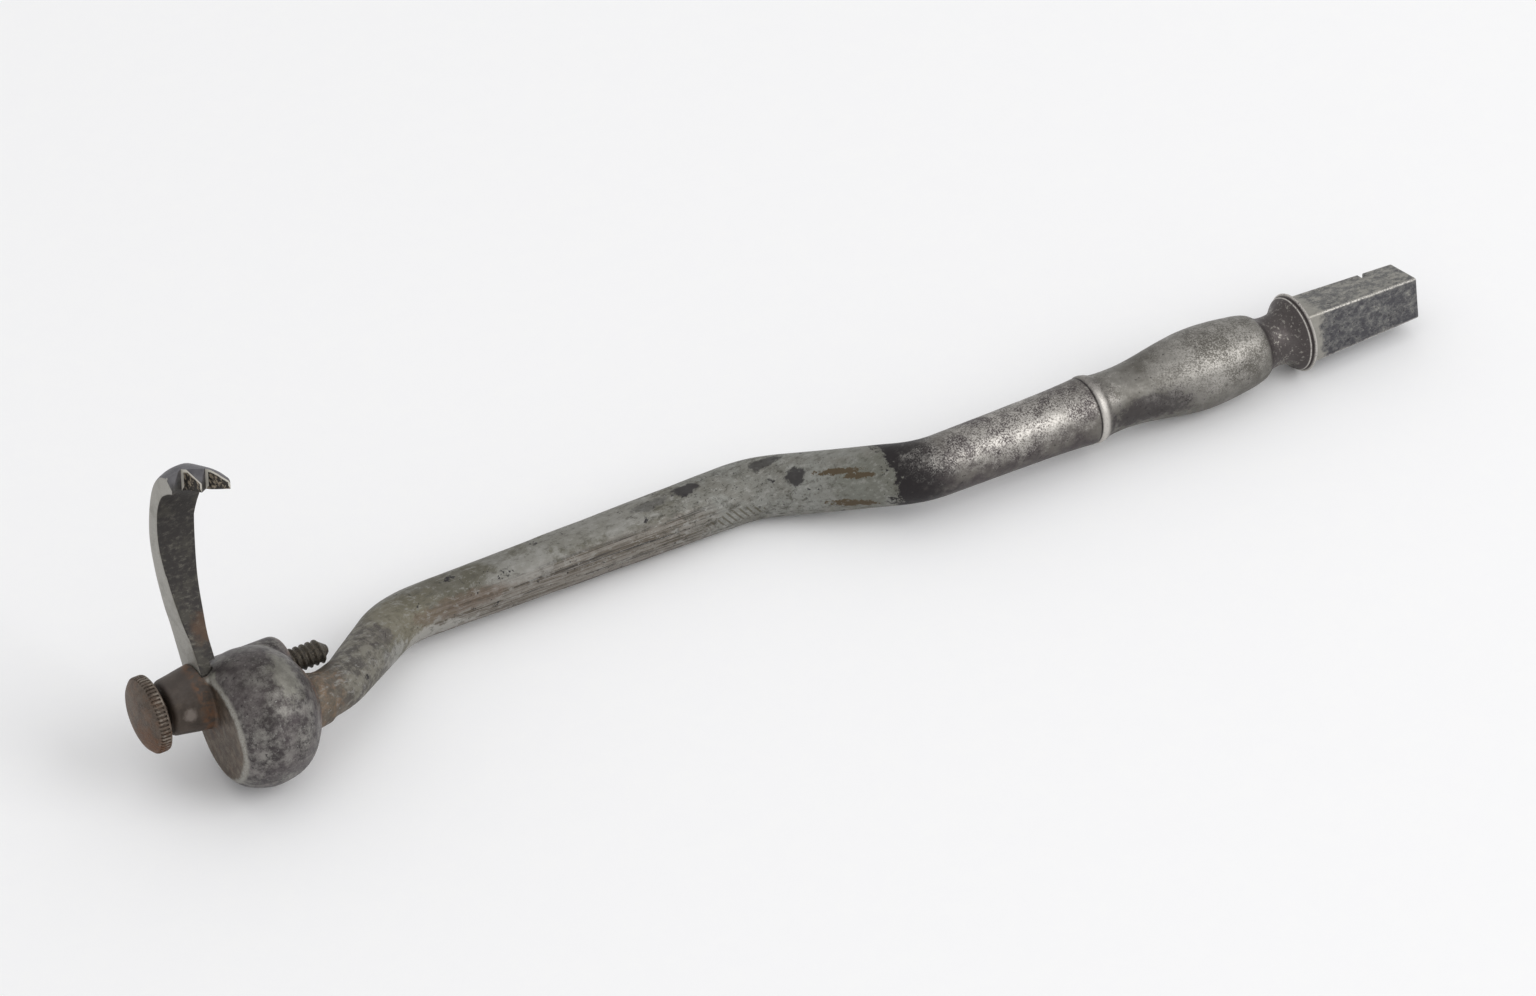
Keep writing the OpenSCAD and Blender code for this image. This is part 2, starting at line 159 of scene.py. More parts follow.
class KeyFinish(bpy.types.PropertyGroup):
    """Colours of the old steel, linear."""

    olive: colour("Darker tone of the cranked bar", (0.135, 0.128, 0.1))
    grey: colour("Middle tone of the cranked bar", (0.215, 0.21, 0.19))
    pale: colour("Lighter tone of the cranked bar", (0.32, 0.315, 0.295))
    brown: colour("Brown streaks on the bar", (0.1, 0.08, 0.06))
    black: colour("Dark islands of scale", (0.03, 0.027, 0.028))
    plum: colour("Dark purple patina", (0.085, 0.073, 0.074))
    # Used for the tang's worn edges and for the painted highlights of the grip, the bead and the collar's
    # rim
    bright: colour("Bright worn metal and painted highlights", (0.58, 0.555, 0.52))
    blue: colour("Dark blue-grey of the tang", (0.082, 0.08, 0.088))
    deposit: colour("Pale dry deposit", (0.4, 0.385, 0.345))
    rust: colour("Orange rust", (0.2, 0.09, 0.038))
    umber: colour("Dark brown rust", (0.06, 0.042, 0.031))
    tan: colour("Lighter brown of rusted steel", (0.135, 0.105, 0.082))
    filed: colour("Light filed side of the claw", (0.34, 0.325, 0.295))
    soot: colour("Dark granular face of the claw", (0.042, 0.038, 0.036))
    underside: colour("Lighter brown of the bar's lower side", (0.235, 0.215, 0.19))
    bend_grey: colour("Green-grey of the bend before the grip", (0.25, 0.255, 0.235))
    moss: colour("Yellowish olive at the bend near the head", (0.2, 0.182, 0.13))
    dull_olive: colour("Darker olive along the bar", (0.105, 0.096, 0.07))
    chestnut: colour("Reddish streak along the bar", (0.13, 0.088, 0.062))
    chalk: colour("Palest wear below the bend near the head", (0.36, 0.35, 0.325))
    shaded_olive: colour("Darker olive at the start of the grip", (0.13, 0.133, 0.108))
    neck_dark: colour("Dark blotches on the neck", (0.068, 0.059, 0.055))
    neck_pale: colour("Pale blotches on the neck", (0.205, 0.192, 0.16))
    seam_brown: colour("Brown of the neck at the drum", (0.095, 0.07, 0.05))
    seam_rust: colour("Rust of the neck at the drum", (0.2, 0.12, 0.065))
    bend_spot: colour("Dark spots on the bend", (0.1, 0.098, 0.085))
    fleck: colour("Dark flecks over the whole bar", (0.075, 0.069, 0.056))
    flake: colour("Brown flakes before the grip", (0.085, 0.062, 0.036))
    file_mark: colour("Short marks of a file", (0.08, 0.068, 0.045))
    grip_grey: colour("Lighter patina of the grip", (0.17, 0.158, 0.142))
    bulge_dark: colour("Darker steel of the bulge", (0.15, 0.143, 0.124))
    bulge_pale: colour("Lighter steel of the bulge", (0.225, 0.217, 0.198))
    stain: colour("Dark stain on the bulge", (0.055, 0.048, 0.05))
    tang_scuff: colour("Scuffed grey of the tang", (0.2, 0.198, 0.19))
    drum_dark: colour("Dark mottle of the drum", (0.05, 0.043, 0.044))
    drum_pale: colour("Pale mottle of the drum", (0.265, 0.254, 0.234))
    drum_olive: colour("Olive marks on the drum", (0.3, 0.295, 0.25))
    smoke_haze: colour("Dark haze on top of the drum", (0.06, 0.051, 0.046))
    violet_haze: colour("Violet haze on the drum", (0.15, 0.128, 0.132))
    face_dark: colour("Dark brown of the drum's face", (0.095, 0.078, 0.06))
    face_pale: colour("Light brown of the drum's face", (0.245, 0.205, 0.162))
    face_rim: colour("Light worn rim of the drum's face", (0.33, 0.32, 0.29))
    lug_rust: colour("Rust on the face around the lug", (0.15, 0.08, 0.04))
    lug_dark: colour("Dark brown of the front lug", (0.042, 0.032, 0.025))
    lug_worn: colour("Worn spot on the front lug", (0.24, 0.205, 0.18))
    lug_grey: colour("Greyer top of the front lug", (0.1, 0.086, 0.08))
    claw_grain: colour("Lighter grain of the claw's faces", (0.135, 0.126, 0.108))
    claw_rust: colour("Rust at the claw's root", (0.12, 0.07, 0.042))
    hook_dark: colour("Darker blue-grey of the hook", (0.108, 0.105, 0.116))
    hook_pale: colour("Lighter blue-grey of the hook", (0.19, 0.185, 0.195))
    pit_dark: colour("Bottom of the pits in the prongs", (0.022, 0.018, 0.014))
    pit_pale: colour("Grains between the pits in the prongs", (0.3, 0.25, 0.185))
    prong_rim: colour("Light rims of the prongs", (0.62, 0.59, 0.52))
    head_brown: colour("Lighter brown of the screw's head", (0.175, 0.143, 0.115))
    head_dark: colour("Dark rust on the screw's head", (0.075, 0.038, 0.022))
    head_rust: colour("Rust on the screw's head", (0.17, 0.08, 0.036))
    tooth_wear: colour("Worn teeth of the screw's head", (0.3, 0.265, 0.225))
    thread_brown: colour("Lighter brown of the thread", (0.142, 0.122, 0.092))


class KeyStage(bpy.types.PropertyGroup):
    """Camera, table and lights."""

    camera_place: FloatVectorProperty(
        name="Camera place", description="Where the camera stands", size=3, unit="LENGTH",
        default=(mm(-324.94), mm(-415.72), mm(417.88)),
    )
    camera_aim: FloatVectorProperty(
        name="Camera aim", description="Direction the camera looks along", size=3, subtype="DIRECTION",
        default=(0.4040, 0.6485, -0.6452),
    )
    lens: number("Lens", "Focal length on a 36 mm sensor", 146.6)
    camera_level: angle("Camera level", "Lean of the camera's upright about the Y axis", 1.3)
    table_tilt: angle("Table tilt", "Tilt of the table under the key about the Y axis", 1.13)
    table_drop: length("Table drop", "Depth of the table below the main axis under the drum", 6.78)
    table_tone: number("Table tone", "Lightness of the table", 0.95)
    sky: number("Room light", "Strength of the even room light", 0.76)
    room: number("Room shine", "Strength of the room in the metal", 0.7)
    key_power: number("Overhead power", "Power of the overhead light", 0.6)
    side_power: number("Front power", "Power of the front light", 3.9)


# Mesh helpers

MERGE = mm(0.001)


def between(before, start, end, after, t):
    """A value from start to end on a smooth curve that also heeds its neighbours."""
    slope = (end - before) * t
    bend = (2 * before - 5 * start + 4 * end - after) * t**2
    twist = (3 * start - before - 3 * end + after) * t**3
    return 0.5 * (2 * start + slope + bend + twist)


def smooth_curve(points, steps):
    """A smooth curve through tuples of numbers, with steps between neighbours."""
    out = []
    last = len(points) - 1
    for i in range(last):
        near = [points[max(i - 1, 0)], points[i], points[i + 1], points[min(i + 2, last)]]
        for j in range(steps):
            out.append(tuple(between(*values, j / steps) for values in zip(*near)))
    out.append(tuple(points[-1]))
    return out


def ray(turn):
    """A unit vector across the X axis, turned from the Y axis."""
    return Vector((0.0, math.cos(turn), math.sin(turn)))


def only(geometry, kind):
    """The members of one kind, such as edges, of what an operator made."""
    return [g for g in geometry if isinstance(g, kind)]


def new_object(name, bm):
    """An object made from a bmesh, linked to the scene at the origin."""
    bmesh.ops.recalc_face_normals(bm, faces=bm.faces[:])
    mesh = bpy.data.meshes.new(name)
    bm.to_mesh(mesh)
    bm.free()
    obj = bpy.data.objects.new(name, mesh)
    bpy.context.scene.collection.objects.link(obj)
    return obj


def discard(obj):
    """Removes an object and its mesh."""
    mesh = obj.data
    bpy.data.objects.remove(obj)
    bpy.data.meshes.remove(mesh)


def bake_modifiers(obj):
    """Replaces the object's mesh by the result of its modifiers."""
    graph = bpy.context.evaluated_depsgraph_get()
    mesh = bpy.data.meshes.new_from_object(obj.evaluated_get(graph))
    old = obj.data
    obj.modifiers.clear()
    obj.data = mesh
    mesh.name = old.name
    bpy.data.meshes.remove(old)


def cut(obj, cutter):
    """Cuts the cutter out of the object and removes the cutter."""
    tool = obj.modifiers.new("cut", "BOOLEAN")
    tool.operation = "DIFFERENCE"
    tool.solver = "EXACT"
    tool.object = cutter
    bake_modifiers(obj)
    discard(cutter)


def sweep(bm, ring_edges, matrices):
    """Draws a ring of edges through a list of places and returns its last edges."""
    edges = ring_edges
    for before, after in zip(matrices, matrices[1:]):
        made = bmesh.ops.extrude_edge_only(bm, edges=edges)["geom"]
        edges = only(made, bmesh.types.BMEdge)
        bmesh.ops.transform(bm, matrix=after @ before.inverted(), verts=only(made, bmesh.types.BMVert))
    return edges


def turned(bm, profile, centre, steps):
    """Spins a profile of [distance along X, radius] about an axis along X through centre."""
    y, z = centre
    verts = [bm.verts.new((x, y + r, z)) for x, r in profile]
    edges = [bm.edges.new(pair) for pair in zip(verts, verts[1:])]
    bmesh.ops.spin(
        bm, geom=verts + edges, cent=(0, y, z), axis=(1, 0, 0),
        angle=2 * math.pi, steps=steps, use_merge=True,
    )
    bmesh.ops.remove_doubles(bm, verts=bm.verts[:], dist=MERGE)


def prism(name, outline, along):
    """A solid with a flat outline of points, drawn out along a vector."""
    bm = bmesh.new()
    face = bm.faces.new([bm.verts.new(point) for point in outline])
    made = bmesh.ops.extrude_face_region(bm, geom=[face])["geom"]
    bmesh.ops.translate(bm, verts=only(made, bmesh.types.BMVert), vec=along)
    return new_object(name, bm)


def rod(name, centre, radius, x0, x1):
    """A solid cylinder along X."""
    bm = bmesh.new()
    lying = Matrix.Rotation(math.pi / 2, 4, "Y")
    bmesh.ops.create_cone(
        bm, cap_ends=True, segments=64, radius1=radius, radius2=radius, depth=x1 - x0,
        matrix=Matrix.Translation(((x0 + x1) / 2, *centre)) @ lying,
    )
    return new_object(name, bm)


def roughen(bm, height, size):
    """Moves each vertex a little along its normal, as hammer work leaves it."""
    bm.normal_update()
    for v in bm.verts:
        wave = noise.noise(v.co / size) + 0.5 * noise.noise(v.co / (0.4 * size))
        v.co += v.normal * (height * wave)


def finish_piece(obj, node, body, material, sharp=40):
    """Shades a piece and lets it stand for its CAD node."""
    obj.data.polygons.foreach_set("use_smooth", [True] * len(obj.data.polygons))
    obj.data.set_sharp_from_angle(angle=math.radians(sharp))
    obj.data.materials.clear()
    obj.data.materials.append(material)
    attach(obj, body)
    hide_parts(node)


# Shader helpers


class Tree:
    """Short names for building a node tree."""

    def __init__(self, tree):
        self.tree = tree

    def node(self, kind, inputs=None, **settings):
        made = self.tree.nodes.new(kind)
        for key, value in settings.items():
            setattr(made, key, value)
        for key, value in (inputs or {}).items():
            self.feed(made.inputs[key], value)
        return made

    def feed(self, socket, value):
        if isinstance(value, bpy.types.NodeSocket):
            self.tree.links.new(value, socket)
        else:
            socket.default_value = value

    def math(self, operation, a, b=0.0):
        return self.node("ShaderNodeMath", {0: a, 1: b}, operation=operation).outputs[0]

    def plus(self, a, b):
        return self.math("ADD", a, b)

    def minus(self, a, b):
        return self.math("SUBTRACT", a, b)

    def times(self, a, b):
        return self.math("MULTIPLY", a, b)

    def mix(self, factor, a, b):
        a = a if isinstance(a, bpy.types.NodeSocket) else (*a, 1.0)
        b = b if isinstance(b, bpy.types.NodeSocket) else (*b, 1.0)
        return self.node("ShaderNodeMix", {0: factor, 6: a, 7: b}, data_type="RGBA").outputs[2]

    def coat(self, base, tone, mask, strength):
        """Lays a tone over a base where a mask says, at some strength."""
        return self.mix(self.times(mask, strength), base, tone)

    def blend(self, factor, a, b):
        return self.node("ShaderNodeMix", {0: factor, 2: a, 3: b}, data_type="FLOAT").outputs[0]

    def step(self, value, low, high):
        inputs = {"Value": value, "From Min": low, "From Max": high, "To Min": 0.0, "To Max": 1.0}
        return self.node("ShaderNodeMapRange", inputs, interpolation_type="SMOOTHSTEP").outputs[0]

    def band(self, value, low, high, soft):
        rise = self.step(value, low - soft, low + soft)
        fall = self.step(value, high - soft, high + soft)
        return self.minus(rise, fall)

    def noise(self, vector, scale, detail=4.0, roughness=0.55, distortion=0.0):
        inputs = {"Vector": vector, "Scale": scale, "Detail": detail, "Roughness": roughness}
        inputs["Distortion"] = distortion
        return self.node("ShaderNodeTexNoise", inputs).outputs["Fac"]

    def stretch(self, vector, scale):
        return self.node("ShaderNodeVectorMath", {0: vector, 1: scale}, operation="MULTIPLY").outputs[0]

    def shift(self, vector, offset):
        return self.node("ShaderNodeVectorMath", {0: vector, 1: offset}, operation="ADD").outputs[0]

    def split(self, vector):
        return self.node("ShaderNodeSeparateXYZ", {0: vector}).outputs

    def turn(self, vector, rotation):
        return self.node("ShaderNodeMapping", {"Vector": vector, "Rotation": rotation}).outputs[0]

    def painted(self, name):
        """A value that a piece carries on its faces."""
        return self.node("ShaderNodeAttribute", attribute_name=name).outputs["Fac"]

    def millimetres(self):
        """The object's own coordinates in millimetres."""
        at = self.node("ShaderNodeTexCoord").outputs["Object"]
        return self.stretch(at, (1000.0, 1000.0, 1000.0))

    def spot(self, vector, centre, radii, ragged, soft=0.12, turn=0.0):
        """A mark of the given radii around a place, its edge broken up by a noise."""
        moved = self.shift(vector, tuple(-c for c in centre))
        if turn:
            moved = self.turn(moved, (0.0, 0.0, math.radians(-turn)))
        scaled = self.stretch(moved, tuple(1.0 / r for r in radii))
        far = self.node("ShaderNodeVectorMath", {0: scaled}, operation="LENGTH").outputs["Value"]
        return self.step(self.plus(far, ragged), 1.0 + soft, 1.0 - soft)

    def around(self, y, z, centre):
        """Distance from an axis along X."""
        dy = self.minus(y, centre[0])
        dz = self.minus(z, centre[1])
        return self.math("SQRT", self.plus(self.times(dy, dy), self.times(dz, dz)))

    def surface(self, inputs):
        """Ends a material's tree with a shader."""
        shader = self.node("ShaderNodeBsdfPrincipled", inputs)
        self.node("ShaderNodeOutputMaterial", {"Surface": shader.outputs["BSDF"]})


def new_material(name):
    """A material with an empty node tree."""
    material = bpy.data.materials.new(name)
    material.use_nodes = True
    material.node_tree.nodes.clear()
    return material


def new_group(name, labels, build):
    """A shader group, made once, that turns a vector in millimetres into float outputs."""
    if name in bpy.data.node_groups:
        return bpy.data.node_groups[name]
    group = bpy.data.node_groups.new(name, "ShaderNodeTree")
    group.interface.new_socket(name="Vector", in_out="INPUT", socket_type="NodeSocketVector")
    for label in labels:
        group.interface.new_socket(name=label, in_out="OUTPUT", socket_type="NodeSocketFloat")
    t = Tree(group)
    made = build(t, t.node("NodeGroupInput").outputs["Vector"])
    t.node("NodeGroupOutput", dict(zip(labels, made)))
    return group


def patina(t, vector):
    """Clouds, islands of scale, fine speckle, pits, long streaks, a ragged edge and a height."""
    cloud = t.noise(vector, 0.32, 7.0, 0.66, 0.2)
    island = t.noise(t.shift(vector, (31.0, 7.0, 3.0)), 0.5, 7.0, 0.64, 0.3)
    speckle = t.noise(vector, 5.5, 5.0, 0.75)
    pits = t.noise(t.shift(vector, (5.0, 17.0, 9.0)), 2.6, 4.0, 0.6)
    streak = t.noise(t.stretch(vector, (0.05, 1.5, 1.5)), 1.0, 7.0, 0.7, 0.15)
    ragged = t.noise(t.shift(vector, (2.0, 11.0, 23.0)), 1.1, 7.0, 0.66)
    small = t.plus(t.times(speckle, 0.3), t.times(streak, 0.5))
    return (
        t.step(cloud, 0.36, 0.64), t.step(island, 0.65, 0.69), t.step(speckle, 0.32, 0.68),
        t.step(pits, 0.62, 0.68), t.step(streak, 0.42, 0.66), t.minus(ragged, 0.5),
        t.plus(t.times(cloud, 0.6), small),
    )


def patchy(t, vector):
    """Patches of rust and a pitted height."""
    patch = t.noise(vector, 0.75, 6.0, 0.68, 0.4)
    pit = t.noise(vector, 3.2, 5.0, 0.65)
    return t.step(patch, 0.44, 0.62), t.step(pit, 0.35, 0.65)


class Steel(Tree):
    """A material in progress: coordinates in millimetres, patina masks and the closing shader."""

    def __init__(self, name):
        self.material = new_material(name)
        super().__init__(self.material.node_tree)
        self.at = self.millimetres()
        self.x, self.y, self.z = self.split(self.at)
        names = ["Cloud", "Island", "Speckle", "Pits", "Streak", "Ragged", "Height"]
        masks = self.masks(new_group("Old steel patina", names, patina))
        self.cloud, self.island, self.speckle, self.pits, self.streak, self.ragged, self.height = masks
        self.patch, self.pit = self.masks(new_group("Patchy rust", ["Patch", "Pit"], patchy))

    def masks(self, group):
        """The outputs of a group at the material's coordinates."""
        return self.node("ShaderNodeGroup", {"Vector": self.at}, node_tree=group).outputs

    def torn(self, value, amount):
        """A value in millimetres that wavers by up to about half the amount."""
        return self.plus(value, self.times(self.ragged, amount))

    def along(self, amount, low, high):
        """A mask with a ragged edge that rises between two places along X."""
        return self.step(self.torn(self.x, amount), low, high)

    def grains(self, scale, detail, rough, low, high, at=None):
        """A mask of grains where a noise rises between two values."""
        where = self.at if at is None else at
        return self.step(self.noise(where, scale, detail, rough), low, high)

    def blot(self, centre, radii, amount, soft):
        """A ragged mark around a place."""
        return self.spot(self.at, centre, radii, self.times(self.ragged, amount), soft)

    def dab(self, base, tone, strength, centre, radii, amount, soft):
        """Lays a tone over a base in a ragged mark."""
        return self.coat(base, tone, self.blot(centre, radii, amount, soft), strength)

    def close(self, base, roughness, metallic, height, depth):
        """Ends the tree; depth is the bump's height in millimetres."""
        bump = self.node("ShaderNodeBump", {"Height": height, "Strength": 1.0, "Distance": mm(depth)})
        inputs = {"Base Color": base, "Roughness": roughness, "Metallic": metallic}
        self.surface({**inputs, "Normal": bump.outputs["Normal"]})
        return self.material


# Materials


def bar_colour(t, f):
    """The cranked bar: grey and olive, a streaked lower side and the marks seen along it."""
    x = t.x
    base = t.mix(t.cloud, f.olive, f.grey)
    base = t.coat(base, f.olive, t.streak, 0.4)
    # Lower side: brown, with dark lines along the bar
    across = t.plus(t.times(t.minus(t.y, 9.3), 0.72), t.times(t.plus(t.z, 2.75), 0.69))
    low = t.times(t.step(t.torn(across, 2.2), 0.5, -0.5), t.band(x, -104.0, -66.0, 3.0))
    lines = t.grains(1.0, 6.0, 0.72, 0.47, 0.58, t.stretch(t.at, (0.03, 3.6, 3.6)))
    scratch = t.grains(1.0, 4.0, 0.7, 0.55, 0.62, t.stretch(t.at, (0.07, 3.6, 3.6)))
    under = t.coat(t.mix(lines, f.underside, f.brown), f.black, scratch, 0.85)
    base = t.coat(base, under, low, 0.9)
    # Pale bend before the grip
    paler = t.band(t.torn(x, 8.0), -70.0, -49.0, 3.0)
    base = t.coat(base, t.mix(t.cloud, f.grey, f.bend_grey), paler, 0.75)
    marks = (
        (f.moss, 0.65, (-105.0, 6.4, -0.1), (5.5, 3.0, 3.0)),
        (f.dull_olive, 0.55, (-99.5, 8.6, 0.1), (6.0, 2.0, 2.0)),
        (f.pale, 0.4, (-81.0, 9.3, -0.1), (9.0, 2.0, 1.8)),
        (f.pale, 0.5, (-90.5, 7.6, -0.4), (4.4, 1.5, 1.4)),
        (f.chestnut, 0.5, (-98.5, 6.9, -1.4), (6.0, 0.9, 1.0)),
        (f.pale, 0.8, (-107.0, 3.2, -1.8), (4.0, 1.8, 1.4)),
        (f.chalk, 0.85, (-102.5, 6.0, -3.5), (5.5, 1.6, 1.0)),
        (f.plum, 0.7, (-108.9, 4.4, 1.2), (2.4, 1.4, 1.4)),
        (f.shaded_olive, 0.6, (-53.5, 0.5, 0.5), (3.6, 3.0, 3.0)),
    )
    for mark in marks:
        base = t.dab(base, *mark, 2.2, 0.2)
    # Mottled neck, brown towards the drum
    tone = t.mix(t.grains(0.55, 9.0, 0.74, 0.44, 0.58), f.neck_dark, f.neck_pale)
    rusty = t.mix(t.patch, f.seam_brown, f.seam_rust)
    tone = t.coat(tone, rusty, t.along(5.0, -114.5, -117.5), 0.8)
    base = t.coat(base, tone, t.along(7.0, -106.5, -110.5), 0.8)
    # Dark spots on the bend, and a fine mottle over all
    bend = t.band(x, -77.0, -57.0, 4.0)
    spots = t.grains(0.9, 8.0, 0.76, 0.52, 0.6, t.shift(t.at, (8.0, 3.0, 5.0)))
    base = t.coat(base, f.bend_spot, t.times(spots, bend), 0.6)
    fine = t.noise(t.stretch(t.at, (0.5, 1.0, 1.0)), 1.7, 7.0, 0.76)
    grain = t.blend(bend, 0.5, 0.75)
    base = t.coat(base, f.pale, t.step(fine, 0.53, 0.62), grain)
    base = t.coat(base, f.fleck, t.step(fine, 0.47, 0.38), grain)
    # Scale, flakes, pits and short file marks
    scale = (
        (0.9, (-70.3, 9.3, 0.4), (1.6, 0.8, 0.9)),
        (0.5, (-74.6, 9.0, 0.3), (2.0, 0.6, 0.6)),
        (0.75, (-61.2, 8.7, 0.7), (1.8, 0.8, 0.7)),
        (0.9, (-59.4, 5.3, 0.6), (1.1, 0.9, 0.9)),
    )
    for mark in scale:
        base = t.dab(base, f.black, *mark, 2.2, 0.2)
    torn = t.times(t.minus(t.noise(t.at, 2.2, 5.0, 0.7), 0.5), 3.4)
    flakes = (
        ((-55.4, 2.9, 1.3), (2.6, 0.3, 0.7)),
        ((-53.9, 1.4, 1.2), (1.9, 0.22, 0.6)),
        ((-54.9, 1.0, -1.7), (2.4, 0.34, 0.5)),
    )
    for centre, radii in flakes:
        base = t.mix(t.spot(t.at, centre, radii, torn, 0.15, -32.0), base, f.flake)
    groups = t.math("MAXIMUM", t.grains(0.22, 3.0, 0.6, 0.5, 0.62), t.times(bend, 0.8))
    base = t.coat(base, f.black, t.pits, groups)
    slant = t.math("SINE", t.times(t.plus(x, t.times(t.z, 0.8)), 8.5))
    filed = t.spot(t.at, (-66.0, 6.1, -2.7), (3.0, 0.9, 0.8), torn)
    base = t.coat(base, f.file_mark, filed, t.times(t.step(slant, 0.2, 0.7), 0.7))
    return t.mix(t.island, base, f.black)


def grip_colour(t, f):
    """The turned grip: dark patina worn through to speckled bright metal, the bright patches laid where
    the highlights fall and so partly a painted highlight; returns that wear and highlight mask too.
    """
    x = t.x
    base = t.mix(t.cloud, f.plum, f.grip_grey)
    bulge = t.mix(t.cloud, f.bulge_dark, f.bulge_pale)
    base = t.coat(base, bulge, t.along(5.0, -27.0, -24.0), 0.8)
    base = t.coat(base, f.black, t.along(9.0, -43.0, -48.5), 0.95)
    base = t.dab(base, f.stain, 0.8, (-20.3, -3.3, 0.2), (5.6, 1.9, 1.7), 2.2, 0.25)
    # Bright worn metal in two patches on the front and top, where the highlights of the grip and the bulge
    # fall: real wear with a painted highlight
    before = t.blot((-36.5, -1.6, 3.0), (9.5, 3.0, 2.2), 2.2, 0.75)
    behind = t.blot((-11.2, -2.6, 3.4), (7.0, 4.2, 3.0), 2.2, 0.8)
    wear = t.math("MAXIMUM", before, t.times(behind, 0.65))
    grainy = t.plus(t.times(t.speckle, 0.8), t.times(t.cloud, 0.3))
    worn = t.times(wear, t.step(grainy, 0.3, 0.75))
    base = t.coat(base, f.bright, worn, 0.8)
    base = t.coat(base, f.black, t.pits, 0.6)
    # Groove, and the bead worn a little all round with a painted highlight on its front side
    base = t.coat(base, f.black, t.band(x, -27.12, -26.86, 0.06), 0.75)
    bead = t.times(t.step(x, -26.95, -26.8), t.step(x, -25.75, -26.4))
    front = t.plus(0.2, t.times(t.step(t.y, 0.2, -2.8), 0.8))
    base = t.coat(base, f.bright, t.times(bead, front), t.step(t.speckle, -0.4, 0.35))
    # Plum waist with pale specks, and a painted highlight as two bright lines along the collar's rounded
    # rim
    base = t.coat(base, f.plum, t.band(x, -5.3, -0.1, 0.2), 0.85)
    specks = t.times(t.band(x, -5.0, -0.8, 0.4), t.grains(2.4, 4.0, 0.7, 0.55, 0.66))
    base = t.coat(base, f.deposit, specks, 0.7)
    pale = t.blot((-3.4, -0.6, -2.4), (1.7, 3.0, 1.6), 2.2, 0.4)
    base = t.coat(base, f.deposit, pale, t.step(t.speckle, 0.3, 0.6))
    radius = t.around(t.y, t.z, (0.0, 0.0))
    # Painted highlight along the collar's two rounded edges, broken by grain
    lines = t.plus(t.band(x, -0.72, -0.56, 0.05), t.band(x, -0.28, -0.06, 0.06))
    rim = t.times(t.step(radius, 3.9, 4.02), lines)
    return t.coat(base, f.bright, rim, t.step(grainy, 0.0, 0.4)), worn


def tang_colour(t, s, f):
    """The square tang: dark blue-grey, scuffed, bright along its edges, pale deposit at the collar."""
    _, ty, tz = t.split(t.turn(t.at, (-s.tang_roll, 0.0, 0.0)))
    taper = (s.tang_root - s.tang_end) / (2 * s.tang_length)
    half = t.minus(500 * s.tang_root, t.times(t.x, taper))
    inner = t.math("MINIMUM", t.math("ABSOLUTE", ty), t.math("ABSOLUTE", tz))
    edge = t.step(t.minus(half, inner), 0.3, 0.1)
    top = t.step(t.minus(tz, half), -0.3, -0.1)
    scuff = t.noise(t.stretch(t.at, (0.7, 1.0, 1.0)), 1.5, 9.0, 0.8)
    scuff = t.plus(scuff, t.times(top, 0.11))
    base = t.mix(t.step(scuff, 0.42, 0.62), f.blue, f.tang_scuff)
    base = t.coat(base, f.deposit, t.step(scuff, 0.58, 0.68), 0.7)
    base = t.coat(base, f.deposit, t.grains(2.0, 6.0, 0.72, 0.6, 0.68), 0.6)
    base = t.coat(base, f.black, t.pits, 0.7)
    base = t.coat(base, f.bright, edge, t.step(t.speckle, 0.25, 0.65))
    return t.coat(base, f.deposit, t.along(4.0, 2.4, 1.2), 0.75)


def shaft_material(s, f):
    """Bar, grip and tang of the one forging, each with its own finish."""
    t = Steel("shaft_steel")
    # worn is the grip's bright patches: real wear that also carries a painted highlight
    dark, worn = grip_colour(t, f)
    grip = t.along(6.5, -51.3, -50.7)
    base = t.mix(grip, bar_colour(t, f), dark)
    base = t.mix(t.step(t.x, 0.0, 0.06), base, tang_colour(t, s, f))
    rough = t.blend(grip, t.blend(t.cloud, 0.66, 0.58), t.blend(t.cloud, 0.5, 0.44))
    rough = t.blend(t.times(worn, grip), rough, 0.35)
    rough = t.blend(t.speckle, t.plus(rough, 0.06), rough)
    return t.close(base, rough, t.blend(grip, 0.45, 0.88), t.height, 0.05)


